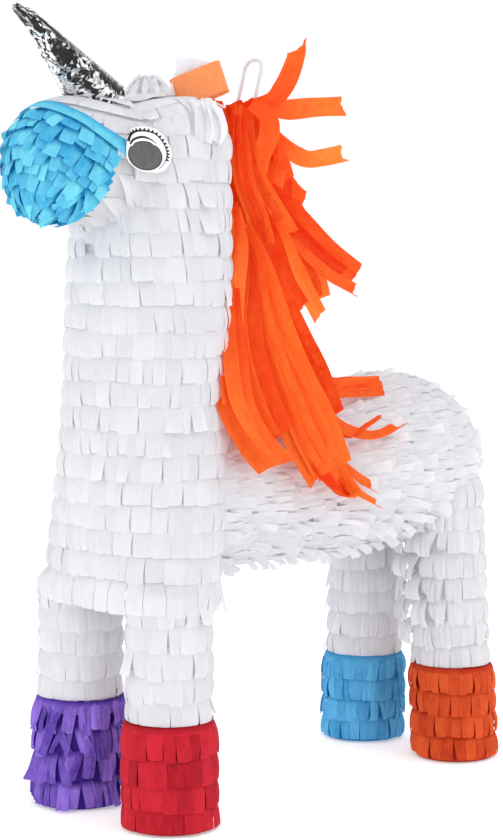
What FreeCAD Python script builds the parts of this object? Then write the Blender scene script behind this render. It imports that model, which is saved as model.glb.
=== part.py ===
"""Unicorn pinata: chipboard shells under a tissue fringe, with a fill flap cut in its back.

Millimetres. +Z is up, the unicorn faces -Y and its left side is +X. The origin is on the floor
at the middle of the object's box. Every shell is lofted through elliptical stations. One table
of stations gives the tips of the fringe, and each board and hollow is that shape drawn inwards.
"""
import FreeCAD, Part
import math
import os

Vector = FreeCAD.Vector
Rotation = FreeCAD.Rotation

# ---------------------------------------------------------------- driving dimensions

SIZES = [
    ("board", 2.5, "chipboard wall"),
    ("fringe_depth", 6.0, "fringe tips above the board"),
    ("fringe_gap", 0.3, "glue line between board and fringe"),
    ("chest_level", 178.0, "underside of the chest floor"),
    ("crown_level", 500.0, "seam between neck tube and crown cap"),
    ("rump_level", 195.0, "seam between the barrel's halves and the rump cap"),
    ("barrel_seam", 246.0, "seam between the barrel's belly and back"),
    ("muzzle_level", -185.0, "where the white fringe meets the muzzle's fringe"),
    ("leg_radius", 27.0, "outside of a leg tube"),
    ("leg_fringe_radius", 33.0, "fringe tips on a leg"),
    ("hoof_radius", 36.0, "fringe tips on a hoof"),
    ("hoof_disc", 3.0, "thickness of the disc under a leg"),
    ("hoof_lift", 0.6, "fringe clear of the floor"),
    ("hind_leg_top", 230.0, "top of a hind leg before it is coped"),
    ("horn_root", 23.0, "foil radius at the horn's root"),
    ("horn_tip", 2.6, "foil radius at the horn's tip"),
    ("horn_run", 98.0, "length of the horn"),
    ("horn_lean", 46.0, "lean of the horn from upright, degrees"),
    ("horn_root_y", -163.0, "root of the horn"),
    ("horn_root_z", 533.0, "root of the horn"),
    ("foil_depth", 1.6, "foil and air over the paper cone"),
    ("eye_wide", 19.6, "half width of an eye card"),
    ("eye_tall", 16.8, "half height of an eye card"),
    ("eye_card", 1.0, "thickness of an eye card"),
    ("eye_x", 51.8, "centre of the left eye card"),
    ("eye_y", -159.4, "centre of an eye card"),
    ("eye_z", 499.5, "centre of an eye card"),
    ("eye_turn", 17.0, "turn of an eye card towards the front, degrees"),
    ("ear_x", 32.0, "centre of an ear"),
    ("ear_y", -87.0, "centre of an ear"),
    ("band_depth", 1.5, "thickness of the band round the left ear"),
    ("band_rise", 17.0, "height of the band round the left ear"),
    ("band_level", 552.0, "middle of the band round the left ear"),
    ("band_tilt", 20.0, "tilt of the band round the left ear, degrees"),
    ("flap_hinge_x", -32.0, "hinge line of the fill flap"),
    ("flap_wide", 63.0, "fill flap across the back"),
    ("flap_front", 118.5, "front edge of the fill flap"),
    ("flap_long", 53.0, "fill flap along the back"),
    ("flap_play", 0.8, "cut width round the fill flap"),
    ("flap_bare", 9.0, "board left bare on each side of the hinge line"),
    ("patch_wide", 40.0, "reinforcing patch behind the hanging loop"),
    ("patch_level", 476.0, "lower edge of the patch"),
    ("patch_tall", 24.0, "height of the patch"),
    ("patch_depth", 2.0, "thickness of the patch"),
    ("loop_diameter", 2.8, "hanging cord"),
    ("bend_share", 0.45, "share of the shorter run that a bend of the cord takes"),
    ("reach", 1400.0, "side of the boxes that slice the shells"),
]

# Stations: level along the axis, centre, half size across X, the other half size, and the
# share of an inset that also shortens the shell, which is 0 on the sides and 1 at a closed end.
NECK = [
    (178.0, -135.0, 85.0, 50.0, 0.0),
    (215.0, -130.0, 80.0, 53.0, 0.0),
    (260.0, -124.0, 73.0, 59.0, 0.0),
    (310.0, -119.0, 67.0, 63.0, 0.0),
    (370.0, -116.0, 64.0, 63.5, 0.0),
    (430.0, -114.0, 63.0, 62.0, 0.0),
    (490.0, -111.0, 60.0, 59.5, 0.0),
    (522.0, -109.0, 57.0, 56.0, 0.3),
    (536.0, -108.0, 50.0, 49.0, 0.6),
    (543.0, -107.0, 37.0, 36.0, 0.9),
    (546.5, -107.0, 16.0, 15.5, 1.0),
]
BARREL = [
    (-130.0, 246.0, 66.0, 65.0, 0.0),
    (-30.0, 245.0, 70.0, 66.0, 0.0),
    (30.0, 245.0, 72.0, 68.0, 0.0),
    (90.0, 248.0, 76.0, 70.0, 0.0),
    (140.0, 253.0, 79.0, 71.0, 0.0),
    (180.0, 252.0, 75.0, 66.0, -0.2),
    (208.0, 250.0, 58.0, 52.0, -0.6),
    (222.0, 250.0, 38.0, 34.0, -0.9),
    (228.0, 250.0, 16.0, 14.0, -1.0),
]
NOSE = [
    (-107.0, 494.5, 46.0, 50.0, 0.0),
    (-130.0, 494.5, 46.0, 50.0, 0.0),
    (-152.0, 494.5, 46.0, 50.0, 0.0),
    (-172.0, 494.0, 45.7, 49.6, 0.1),
    (-190.0, 493.2, 44.8, 48.6, 0.2),
    (-206.0, 492.3, 43.0, 46.6, 0.35),
    (-219.0, 491.2, 39.5, 42.8, 0.55),
    (-229.0, 490.0, 33.5, 36.5, 0.75),
    (-236.0, 489.0, 25.0, 27.5, 0.9),
    (-240.0, 488.2, 13.0, 15.0, 1.0),
]
EAR = [
    (525.0, 0.0, 22.0, 14.0, 0.0),
    (552.0, 0.0, 19.0, 11.0, 0.0),
    (573.0, 0.0, 12.0, 5.0, 0.0),
]
# The tissue bunches: level, centre along X, centre along Y, half depth, half width.
MANE_UPPER = [
    (547.0, 0.0, -38.0, 21.0, 12.0),
    (500.0, 0.0, -26.0, 31.0, 17.0),
    (450.0, 2.0, -16.0, 40.0, 20.0),
    (405.0, 4.0, -5.0, 48.0, 20.0),
    (375.0, 5.0, 8.0, 36.0, 14.0),
]
MANE_LOWER = [
    (398.0, 6.0, -46.0, 13.0, 10.0),
    (360.0, 10.0, -36.0, 30.0, 17.0),
    (325.0, 20.0, -24.0, 42.0, 26.0),
    (285.0, 42.0, -6.0, 44.0, 34.0),
    (245.0, 52.0, 8.0, 38.0, 27.0),
    (222.0, 55.0, 16.0, 24.0, 23.0),
]
TAIL = [
    (298.0, 0.0, 208.0, 12.0, 12.0),
    (276.0, 0.0, 222.0, 16.0, 15.0),
    (240.0, 0.0, 227.0, 13.0, 13.0),
    (190.0, 0.0, 227.0, 13.0, 13.0),
    (140.0, 0.0, 228.0, 9.0, 9.0),
]
# Legs: foot centre, lean of its top at the chest, hoof height.
LEGS = {
    "front_left": (52.0, -143.0, -1.0, 0.0, 80.0),
    "front_right": (-53.0, -143.0, 5.0, 0.0, 84.0),
    "hind_left": (53.0, 182.0, -8.0, -3.0, 78.0),
    "hind_right": (-53.0, 182.0, 6.0, -2.0, 74.0),
}
# The hanging loop's left half, from inside the neck to its top.
LOOP = [
    (-9.4, -62.0, 490.0),
    (-9.4, -36.0, 508.0),
    (-9.4, -16.0, 533.0),
    (-9.4, -8.0, 555.0),
    (-9.4, -3.0, 574.0),
]

doc = FreeCAD.newDocument("pinata")
sheet = doc.addObject("Spreadsheet::Sheet", "Sizes")
next_row = 1


def cell(alias, value, note=""):
    """One plain number in the sheet under an alias."""
    global next_row
    sheet.set(f"A{next_row}", alias)
    sheet.set(f"B{next_row}", str(value))
    sheet.set(f"C{next_row}", note)
    sheet.setAlias(f"B{next_row}", alias)
    next_row += 1


def table(prefix, rows, columns):
    """A table of stations, one cell for each number."""
    for index, row in enumerate(rows):
        for column, value in zip(columns, row):
            cell(f"{prefix}_{index}_{column}", value)


SHELL_COLUMNS = ("level", "centre", "side", "other", "creep")
BUNCH_COLUMNS = ("level", "x", "y", "depth", "side")
LEG_COLUMNS = ("foot_x", "foot_y", "lean_x", "lean_y", "hoof")

for size_alias, size_value, size_note in SIZES:
    cell(size_alias, size_value, size_note)
table("neck", NECK, SHELL_COLUMNS)
table("barrel", BARREL, SHELL_COLUMNS)
table("nose", NOSE, SHELL_COLUMNS)
table("ear", EAR, SHELL_COLUMNS)
table("mane_upper", MANE_UPPER, BUNCH_COLUMNS)
table("mane_lower", MANE_LOWER, BUNCH_COLUMNS)
table("tail", TAIL, BUNCH_COLUMNS)
for leg_name, leg_row in LEGS.items():
    for leg_column, leg_value in zip(LEG_COLUMNS, leg_row):
        cell(f"{leg_name}_{leg_column}", leg_value)
doc.recompute()

# How far each layer lies inside the fringe's tips.
LAYERS = {
    "skin": "0",
    "glue": "(Sizes.fringe_depth - Sizes.fringe_gap)",
    "shell": "Sizes.fringe_depth",
    "hollow": "(Sizes.fringe_depth + Sizes.board)",
    "lining": "(Sizes.fringe_depth + Sizes.board + Sizes.patch_depth)",
}
# Each family of stations: its axis, and the ellipse's local X, Y and Z axes.
UPRIGHT = ("z", Rotation(0, 0, 0))
ALONG_WIDE = ("y", Rotation(Vector(1, 0, 0), 90))
ALONG_TALL = ("y", Rotation(Vector(0, 0, 1), Vector(1, 0, 0), Vector(0, 1, 0), "XYZ"))
FAMILIES = {
    "neck": (NECK, UPRIGHT, "side", "other"),
    "barrel": (BARREL, ALONG_WIDE, "side", "other"),
    "nose": (NOSE, ALONG_TALL, "other", "side"),
}
parts = {}


# ---------------------------------------------------------------- building blocks

def keep(label, solid):
    """Name a finished sub-part. The label is also its file's name."""
    solid.Label = label
    parts[label] = solid
    return solid


def place(item, x="0", y="0", z="0"):
    """Bind a placement's base to expressions."""
    for axis, value in (("x", x), ("y", y), ("z", z)):
        item.setExpression(f"Placement.Base.{axis}", str(value))


def ellipse(name, major, minor, rotation=UPRIGHT[1]):
    """An ellipse whose two radii are expressions."""
    ring = doc.addObject("Part::Ellipse", name)
    ring.Placement = FreeCAD.Placement(Vector(), rotation)
    ring.setExpression("MajorRadius", major)
    ring.setExpression("MinorRadius", minor)
    return ring


def circle(name, radius):
    """A circle whose radius is an expression."""
    ring = doc.addObject("Part::Circle", name)
    ring.setExpression("Radius", radius)
    return ring


def loft(name, sections):
    """A smooth solid through its sections."""
    solid = doc.addObject("Part::Loft", name)
    solid.Sections = sections
    solid.Solid = True
    return solid


def box(name, x, y, z, length, width, height):
    """A box whose corner and sides are expressions."""
    solid = doc.addObject("Part::Box", name)
    solid.setExpression("Length", length)
    solid.setExpression("Width", width)
    solid.setExpression("Height", height)
    place(solid, x, y, z)
    return solid


def cut(name, base, *tools):
    """The base with each tool taken out of it in turn."""
    for index, tool in enumerate(tools):
        step = doc.addObject("Part::Cut", f"{name}_{index}")
        step.Base = base
        step.Tool = tool
        base = step
    return base


def common(name, base, tool):
    """What two solids share."""
    solid = doc.addObject("Part::Common", name)
    solid.Base = base
    solid.Tool = tool
    return solid


def slab(name, axis, low, high):
    """Everything between two levels along one axis."""
    half = "-Sizes.reach / 2"
    rise = f"({high}) - ({low})"
    if axis == "z":
        return box(name, half, half, low, "Sizes.reach", "Sizes.reach", rise)
    return box(name, half, low, half, "Sizes.reach", rise, "Sizes.reach")


def envelope(family, layer):
    """One family's shape at one layer, as a solid."""
    rows, (axis, rotation), major, minor = FAMILIES[family]
    inset = LAYERS[layer]
    rings = []
    for index in range(len(rows)):
        stem = f"Sizes.{family}_{index}"
        name = f"{family}_{layer}_{index}"
        ring = ellipse(name, f"{stem}_{major} - {inset}", f"{stem}_{minor} - {inset}", rotation)
        level = f"{stem}_level"
        if axis == "z":
            place(ring, y=f"{stem}_centre", z=f"{level} - {stem}_creep * {inset}")
        else:
            place(ring, y=f"{level} + {stem}_creep * {inset}", z=f"{stem}_centre")
        rings.append(ring)
    return loft(f"{family}_{layer}", rings)


def bunch(prefix, rows):
    """A bunch of tissue strips as one plain solid, deeper than it is wide."""
    rings = []
    for index in range(len(rows)):
        stem = f"Sizes.{prefix}_{index}"
        turned = Rotation(Vector(0, 0, 1), 90)
        ring = ellipse(f"{prefix}_{index}", f"{stem}_depth", f"{stem}_side", turned)
        place(ring, f"{stem}_x", f"{stem}_y", f"{stem}_level")
        rings.append(ring)
    return loft(f"{prefix}_loft", rings)


# ---------------------------------------------------------------- shells of the body

skin = {family: envelope(family, "skin") for family in FAMILIES}
glue = {family: envelope(family, "glue") for family in FAMILIES}
shell = {family: envelope(family, "shell") for family in FAMILIES}
hollow = {family: envelope(family, "hollow") for family in FAMILIES}

floor_top = "Sizes.chest_level + Sizes.board"
neck_wall = cut("neck_wall", shell["neck"], hollow["neck"])
keep("neck_tube", common("neck_middle", neck_wall,
                         slab("neck_slab", "z", floor_top, "Sizes.crown_level")))
keep("crown_cap", common("neck_top", neck_wall,
                         slab("crown_slab", "z", "Sizes.crown_level", "Sizes.reach")))

flap_x = "Sizes.flap_hinge_x"
flap_y = "Sizes.flap_front"
top_half = "Sizes.reach"
opening = box("flap_opening", f"{flap_x} - Sizes.flap_play", f"{flap_y} - Sizes.flap_play",
              "Sizes.barrel_4_centre", "Sizes.flap_wide + 2 * Sizes.flap_play",
              "Sizes.flap_long + 2 * Sizes.flap_play", top_half)
clearing = box("flap_clearing", f"{flap_x} - Sizes.flap_bare", f"{flap_y} - Sizes.flap_play",
               "Sizes.barrel_4_centre", "Sizes.flap_wide + Sizes.flap_bare + Sizes.flap_play",
               "Sizes.flap_long + 2 * Sizes.flap_play", top_half)
flap_block = box("flap_block", f"{flap_x} + Sizes.flap_play", flap_y, "Sizes.barrel_4_centre",
                 "Sizes.flap_wide - Sizes.flap_play", "Sizes.flap_long", top_half)
flap_cover = box("flap_cover", f"{flap_x} + Sizes.flap_bare", flap_y, "Sizes.barrel_4_centre",
                 "Sizes.flap_wide - Sizes.flap_bare", "Sizes.flap_long", top_half)

barrel_wall = cut("barrel_wall", shell["barrel"], hollow["barrel"])
barrel_coped = cut("barrel_coped", barrel_wall, shell["neck"])
barrel_front = common("barrel_front", barrel_coped,
                      slab("barrel_slab", "y", "-Sizes.reach / 2", "Sizes.rump_level"))
keep("barrel_belly", common("barrel_low", barrel_front,
                            slab("belly_slab", "z", "0", "Sizes.barrel_seam")))
barrel_high = common("barrel_high", barrel_front,
                     slab("back_slab", "z", "Sizes.barrel_seam", "Sizes.reach"))
keep("barrel_back", cut("barrel_back_cut", barrel_high, opening))
keep("rump_cap", common("barrel_rear", barrel_coped,
                        slab("rump_slab", "y", "Sizes.rump_level", "Sizes.reach / 2")))
keep("fill_flap", common("flap_board", barrel_wall, flap_block))

nose_wall = cut("nose_wall", shell["nose"], hollow["nose"])
keep("nose_cup", cut("nose_coped", nose_wall, shell["neck"]))


# ---------------------------------------------------------------- legs

def leg_solid(name, leg, radius, low, high):
    """A round length of one leg between two levels, following its lean."""
    rings = []
    for end, level in (("low", low), ("high", high)):
        ring = circle(f"{name}_{end}", radius)
        rise = f"({level}) / Sizes.chest_level"
        place(ring, f"Sizes.{leg}_foot_x + Sizes.{leg}_lean_x * {rise}",
              f"Sizes.{leg}_foot_y + Sizes.{leg}_lean_y * {rise}", level)
        rings.append(ring)
    return loft(name, rings)


tube_radius = "Sizes.leg_radius"
glue_radius = "Sizes.leg_radius + Sizes.fringe_gap"
bore_radius = "Sizes.leg_radius - Sizes.board"
leg_tubes = {}
for leg in LEGS:
    hind = leg.startswith("hind")
    top = "Sizes.hind_leg_top" if hind else "Sizes.chest_level"
    hoof_top = f"Sizes.{leg}_hoof"
    outer = leg_solid(f"{leg}_outer", leg, tube_radius, "Sizes.hoof_disc", top)
    bore = leg_solid(f"{leg}_bore", leg, bore_radius, "Sizes.hoof_disc", top)
    glued = leg_solid(f"{leg}_glued", leg, glue_radius, "0", top)
    white = leg_solid(f"{leg}_white", leg, "Sizes.leg_fringe_radius", hoof_top, top)
    hoof = leg_solid(f"{leg}_tips", leg, "Sizes.hoof_radius", "Sizes.hoof_lift", hoof_top)
    disc = leg_solid(f"{leg}_disc", leg, tube_radius, "0", "Sizes.hoof_disc")
    leg_tubes[leg] = glued
    if hind:
        keep(f"leg_tube_{leg}", cut(f"{leg}_tube", outer, bore, shell["barrel"]))
        keep(f"leg_fringe_{leg}", cut(f"{leg}_fringe", white, glued, skin["barrel"]))
    else:
        keep(f"leg_tube_{leg}", cut(f"{leg}_tube", outer, bore))
        keep(f"leg_fringe_{leg}", cut(f"{leg}_fringe", white, glued))
    keep(f"hoof_fringe_{leg}", cut(f"{leg}_hoof", hoof, glued))
    keep(f"hoof_disc_{leg}", disc)

# The chest floor closes the neck tube and carries the two front legs.
floor_oval = common("floor_oval", shell["neck"],
                    slab("floor_slab", "z", "Sizes.chest_level", floor_top))
floor_pads = []
for leg in ("front_left", "front_right"):
    pad = leg_solid(f"{leg}_pad", leg, tube_radius, "Sizes.chest_level", floor_top)
    floor_pads.append(pad)
chest_floor = doc.addObject("Part::MultiFuse", "chest_floor_fuse")
chest_floor.Shapes = [floor_oval] + floor_pads
chest_floor.Refine = True
keep("chest_floor", chest_floor)

# ---------------------------------------------------------------- fringe of the body

neck_cover = cut("neck_cover", skin["neck"], glue["neck"], glue["barrel"], glue["nose"])
keep("neck_fringe", common("neck_cover_cut", neck_cover,
                           slab("cover_slab", "z", floor_top, "Sizes.reach")))
barrel_cover = cut("barrel_cover", skin["barrel"], glue["barrel"], skin["neck"])
keep("flap_fringe", common("flap_cover_cut", barrel_cover, flap_cover))
keep("barrel_fringe", cut("barrel_cover_cut", barrel_cover, clearing, leg_tubes["hind_left"],
                          leg_tubes["hind_right"]))
nose_cover = cut("nose_cover", skin["nose"], skin["neck"], glue["nose"])
keep("nose_fringe", common("nose_white", nose_cover,
                           slab("white_slab", "y", "Sizes.muzzle_level", "Sizes.reach / 2")))
keep("muzzle_fringe", common("nose_blue", nose_cover,
                             slab("blue_slab", "y", "-Sizes.reach / 2", "Sizes.muzzle_level")))

# ---------------------------------------------------------------- horn


def horn_cone(name, root, tip, run):
    """A cone on the horn's axis, which leans forward from its root."""
    cone = doc.addObject("Part::Cone", name)
    cone.setExpression("Radius1", root)
    cone.setExpression("Radius2", tip)
    cone.setExpression("Height", run)
    lean = sheet.get("horn_lean")
    cone.Placement = FreeCAD.Placement(Vector(), Rotation(Vector(1, 0, 0), lean))
    cone.setExpression("Placement.Rotation.Angle", "Sizes.horn_lean")
    place(cone, "0", "Sizes.horn_root_y", "Sizes.horn_root_z")
    return cone


horn_outer = horn_cone("horn_outer", "Sizes.horn_root", "Sizes.horn_tip", "Sizes.horn_run")
horn_inner = horn_cone("horn_inner", "Sizes.horn_root - Sizes.foil_depth",
                       "Sizes.horn_tip - Sizes.foil_depth", "Sizes.horn_run - Sizes.foil_depth")
horn_paper = horn_cone("horn_paper", "Sizes.horn_root - Sizes.foil_depth - Sizes.fringe_gap",
                       "Sizes.horn_tip - Sizes.foil_depth - Sizes.fringe_gap",
                       "Sizes.horn_run - Sizes.foil_depth - Sizes.fringe_gap")
keep("horn_foil", cut("horn_foil_cut", horn_outer, horn_inner, skin["nose"], skin["neck"]))
keep("horn_core", cut("horn_core_cut", horn_paper, skin["nose"], skin["neck"]))


# ---------------------------------------------------------------- ears and eyes

def ear_solid(name, side, grow):
    """An ear as a flattened cone, grown by a thickness."""
    rings = []
    for index in range(len(EAR)):
        stem = f"Sizes.ear_{index}"
        ring = ellipse(f"{name}_{index}", f"{stem}_side + {grow}", f"{stem}_other + {grow}")
        place(ring, f"{side} * Sizes.ear_x", "Sizes.ear_y", f"{stem}_level")
        rings.append(ring)
    return loft(name, rings)


for side_name, side in (("left", 1), ("right", -1)):
    ear = ear_solid(f"ear_{side_name}_loft", side, "0")
    keep(f"ear_{side_name}", cut(f"ear_{side_name}_cut", ear, skin["neck"], skin["nose"]))

    oval = ellipse(f"eye_{side_name}_oval", "Sizes.eye_wide", "Sizes.eye_tall")
    turn = side * (90.0 - sheet.get("eye_turn"))
    facing = Rotation(Vector(0, 0, 1), turn) * Rotation(Vector(1, 0, 0), 90)
    oval.Placement = FreeCAD.Placement(Vector(), facing)
    place(oval, f"{side} * Sizes.eye_x", "Sizes.eye_y", "Sizes.eye_z")
    card = doc.addObject("Part::Extrusion", f"eye_{side_name}_card")
    card.Base = oval
    card.DirMode = "Normal"
    card.Solid = True
    card.setExpression("LengthFwd", "Sizes.eye_card")
    keep(f"eye_card_{side_name}", card)

# The left ear alone wears a band: a tilted slice of a jacket that fits round it.
ear_glue = ear_solid("ear_left_glue", 1, "Sizes.fringe_gap")
ear_wrap = ear_solid("ear_left_wrap", 1, "Sizes.band_depth")
tilt = Rotation(Vector(0, 1, 0), -sheet.get("band_tilt"))
centre = Vector(sheet.get("ear_x"), sheet.get("ear_y"), sheet.get("band_level"))
half_side = sheet.get("reach") / 2
corner = Vector(-half_side, -half_side, -sheet.get("band_rise") / 2)
ribbon = doc.addObject("Part::Box", "band_box")
ribbon.setExpression("Length", "Sizes.reach")
ribbon.setExpression("Width", "Sizes.reach")
ribbon.setExpression("Height", "Sizes.band_rise")
ribbon.Placement = FreeCAD.Placement(centre + tilt.multVec(corner), tilt)
band_ring = cut("band_ring", ear_wrap, ear_glue, skin["neck"], skin["nose"])
keep("ear_band_left", common("band_cut", band_ring, ribbon))

# ---------------------------------------------------------------- mane, tail and hanging loop

keep("mane_upper", cut("mane_upper_cut", bunch("mane_upper", MANE_UPPER), skin["neck"],
                       skin["barrel"]))
keep("mane_lower", cut("mane_lower_cut", bunch("mane_lower", MANE_LOWER), skin["neck"],
                       skin["barrel"], parts["mane_upper"]))
keep("tail", cut("tail_cut", bunch("tail", TAIL), skin["barrel"]))

lining = cut("neck_lining", hollow["neck"], envelope("neck", "lining"))
patch_block = box("patch_block", "-Sizes.patch_wide / 2", "Sizes.neck_6_centre",
                  "Sizes.patch_level", "Sizes.patch_wide", "Sizes.reach", "Sizes.patch_tall")
keep("hanger_patch", common("patch_cut", lining, patch_block))


def rounded_path(points, share):
    """Straight runs joined by tangent arcs, and the arcs' radii."""
    edges = []
    radii = []
    start = points[0]
    for before, corner, after in zip(points, points[1:], points[2:]):
        inward = (before - corner).normalize()
        outward = (after - corner).normalize()
        half_turn = (math.pi - inward.getAngle(outward)) / 2
        take = share * min(before.distanceToPoint(corner), after.distanceToPoint(corner))
        first = corner + inward * take
        last = corner + outward * take
        radius = take / math.tan(half_turn)
        centre = corner + (inward + outward).normalize() * (radius / math.cos(half_turn))
        middle = centre + (corner - centre).normalize() * radius
        edges.append(Part.LineSegment(start, first).toShape())
        edges.append(Part.Arc(first, middle, last).toShape())
        radii.append(radius)
        start = last
    edges.append(Part.LineSegment(start, points[-1]).toShape())
    return Part.Wire(edges), radii


doc.recompute()
left_half = [Vector(*point) for point in LOOP]
right_half = [Vector(-point.x, point.y, point.z) for point in reversed(left_half)]
loop_wire, loop_radii = rounded_path(left_half + right_half, sheet.get("bend_share"))
loop_path = doc.addObject("Part::Feature", "loop_path")
loop_path.Shape = loop_wire
loop_section = circle("loop_section", "Sizes.loop_diameter / 2")
loop_heading = left_half[1] - left_half[0]
loop_section.Placement = FreeCAD.Placement(left_half[0], Rotation(Vector(0, 0, 1), loop_heading))
hanging_loop = doc.addObject("Part::Sweep", "loop_sweep")
hanging_loop.Sections = [loop_section]
hanging_loop.Spine = (loop_path, [f"Edge{index + 1}" for index in range(len(loop_wire.Edges))])
hanging_loop.Solid = True
keep("hanging_loop", hanging_loop)

# ---------------------------------------------------------------- checks and files

doc.recompute()
failed = [item.Name for item in doc.Objects if {"Invalid", "Error"} & set(item.State)]
if failed:
    raise RuntimeError("failed: " + ", ".join(failed))
for label, solid in parts.items():
    if solid.Shape.isNull() or not solid.Shape.isValid():
        raise RuntimeError(f"{label} has no valid shape")

os.makedirs("parts", exist_ok=True)
for label, solid in parts.items():
    solid.Shape.exportStep(f"parts/{label}.step")
    print(f"{label}: {len(solid.Shape.Solids)} solid, {solid.Shape.Volume / 1000:.1f} cm3")

loop_area = math.pi * (sheet.get("loop_diameter") / 2) ** 2
print("hanging loop:", round(loop_wire.Length, 1), "mm long, bends",
      [round(radius, 1) for radius in loop_radii])
hinge_share = sheet.get("flap_hinge_x") / (sheet.get("barrel_4_side") - sheet.get("fringe_depth"))
hinge_rise = (sheet.get("barrel_4_other") - sheet.get("fringe_depth")) * math.sqrt(
    1 - hinge_share ** 2)
print("flap hinge: x", sheet.get("flap_hinge_x"), "z",
      round(sheet.get("barrel_4_centre") + hinge_rise, 1))
print("hanging loop, volume over section times length:",
      round(hanging_loop.Shape.Volume / (loop_area * loop_wire.Length), 4))
boxes = [solid.Shape.optimalBoundingBox() for solid in parts.values()]
whole = boxes[0]
for node_box in boxes[1:]:
    whole.add(node_box)
print("box", [round(value, 1) for value in (whole.XMin, whole.XMax, whole.YMin, whole.YMax,
                                            whole.ZMin, whole.ZMax)])
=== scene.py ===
"""Looks of the unicorn pinata: tissue fringe, foil horn, printed eyes, tissue mane and tail.

Metres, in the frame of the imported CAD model. +Z is up and the unicorn faces -Y. Lengths in the
tables are in millimetres. Every strip of tissue is drawn on the outside of its CAD solid.
"""

import math
from dataclasses import dataclass, replace

import bpy
import numpy as np
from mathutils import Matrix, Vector, noise
from mathutils.bvhtree import BVHTree


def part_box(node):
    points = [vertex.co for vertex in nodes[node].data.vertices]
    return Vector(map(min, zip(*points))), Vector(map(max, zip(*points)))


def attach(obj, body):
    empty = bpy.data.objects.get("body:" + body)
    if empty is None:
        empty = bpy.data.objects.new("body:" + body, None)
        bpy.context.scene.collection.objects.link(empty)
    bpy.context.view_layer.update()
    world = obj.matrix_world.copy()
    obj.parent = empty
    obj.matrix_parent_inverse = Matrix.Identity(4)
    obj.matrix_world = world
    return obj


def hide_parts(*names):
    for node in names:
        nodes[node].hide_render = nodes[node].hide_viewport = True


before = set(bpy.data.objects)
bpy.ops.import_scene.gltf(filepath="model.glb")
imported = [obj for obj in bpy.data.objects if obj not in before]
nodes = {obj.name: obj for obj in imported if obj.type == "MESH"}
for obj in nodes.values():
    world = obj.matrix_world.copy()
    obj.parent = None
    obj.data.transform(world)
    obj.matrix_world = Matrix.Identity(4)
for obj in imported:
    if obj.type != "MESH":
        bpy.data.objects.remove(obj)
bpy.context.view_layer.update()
MM = 0.001
TURN = 2 * math.pi
SIDE = Vector((1, 0, 0))
UP = Vector((0, 0, 1))
DOWN = Vector((0, 0, -1))
SEED = 41
NOISE_SEED = 12
rng = np.random.default_rng(SEED)
noise.seed_set(NOISE_SEED)


def unit(vectors):
    """Vectors scaled to a length of 1."""
    return vectors / np.maximum(np.linalg.norm(vectors, axis=-1, keepdims=True), 1e-9)


# ---------------------------------------------------------------- materials

class Nodes:
    """The node tree of a material or world, under construction."""

    def __init__(self, owner):
        owner.use_nodes = True
        self.owner = owner
        self.tree = owner.node_tree
        self.tree.nodes.clear()

    def node(self, kind, inputs=None, **settings):
        """A shader node with its settings, its plain inputs and its links."""
        made = self.tree.nodes.new("ShaderNode" + kind)
        for name, value in settings.items():
            setattr(made, name, value)
        for name, value in (inputs or {}).items():
            if isinstance(value, bpy.types.NodeSocket):
                self.tree.links.new(value, made.inputs[name])
            else:
                made.inputs[name].default_value = value
        return made

    def place(self):
        """The object's own coordinates."""
        return self.node("TexCoord").outputs["Object"]

    def noise(self, place, scale, detail):
        """Noise at one scale, or stretched by a scale for each axis."""
        if isinstance(scale, tuple):
            place = self.node("Mapping", {"Vector": place, "Scale": scale}).outputs[0]
            scale = 1
        made = self.node("TexNoise", {"Vector": place, "Scale": scale, "Detail": detail})
        return made.outputs["Fac"]

    def scaled(self, value, factor, plus):
        """A value times a factor, plus another value."""
        made = self.node("Math", {0: value, 1: factor, 2: plus}, operation="MULTIPLY_ADD")
        return made.outputs[0]

    def span(self, value, *limits):
        """A value mapped from one range to another, which is 0 to 1 unless it is given."""
        return self.node("MapRange", dict(enumerate((value, *limits)))).outputs[0]

    def ramp(self, factor, *stops):
        """A colour ramp through (place, colour) stops."""
        made = self.node("ValToRGB", {"Fac": factor})
        elements = made.color_ramp.elements
        while len(elements) < len(stops):
            elements.new(0.5)
        for element, (place, colour) in zip(elements, stops):
            element.position = place
            element.color = (*colour, 1)
        return made.outputs["Color"]

    def bump(self, height, strength, distance):
        """Normals from a height."""
        return self.node("Bump", {"Height": height, "Strength": strength,
                                  "Distance": distance}).outputs[0]

    def principled(self, colour, roughness, normal, **more):
        """The usual shader. more gives further sockets, with _ for each space."""
        sockets = {name.replace("_", " "): value for name, value in more.items()}
        return self.node("BsdfPrincipled", {"Base Color": colour, "Roughness": roughness,
                                            "Normal": normal, **sockets})

    def finish(self, kind, shader):
        """The material or world, with its shader at its output."""
        self.node("Output" + kind, {"Surface": shader.outputs[0]})
        return self.owner


def new_paint(name):
    """A material with no nodes yet."""
    return Nodes(bpy.data.materials.new(name))


# Repeats per metre across and along a sheet, and from sheet to sheet.
FIBRES = (900, 260, 37)
CLOUDS = (160, 90, 53)
FOLDS = (210, 55, 71)
FIBRE_RELIEF = 0.16


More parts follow.
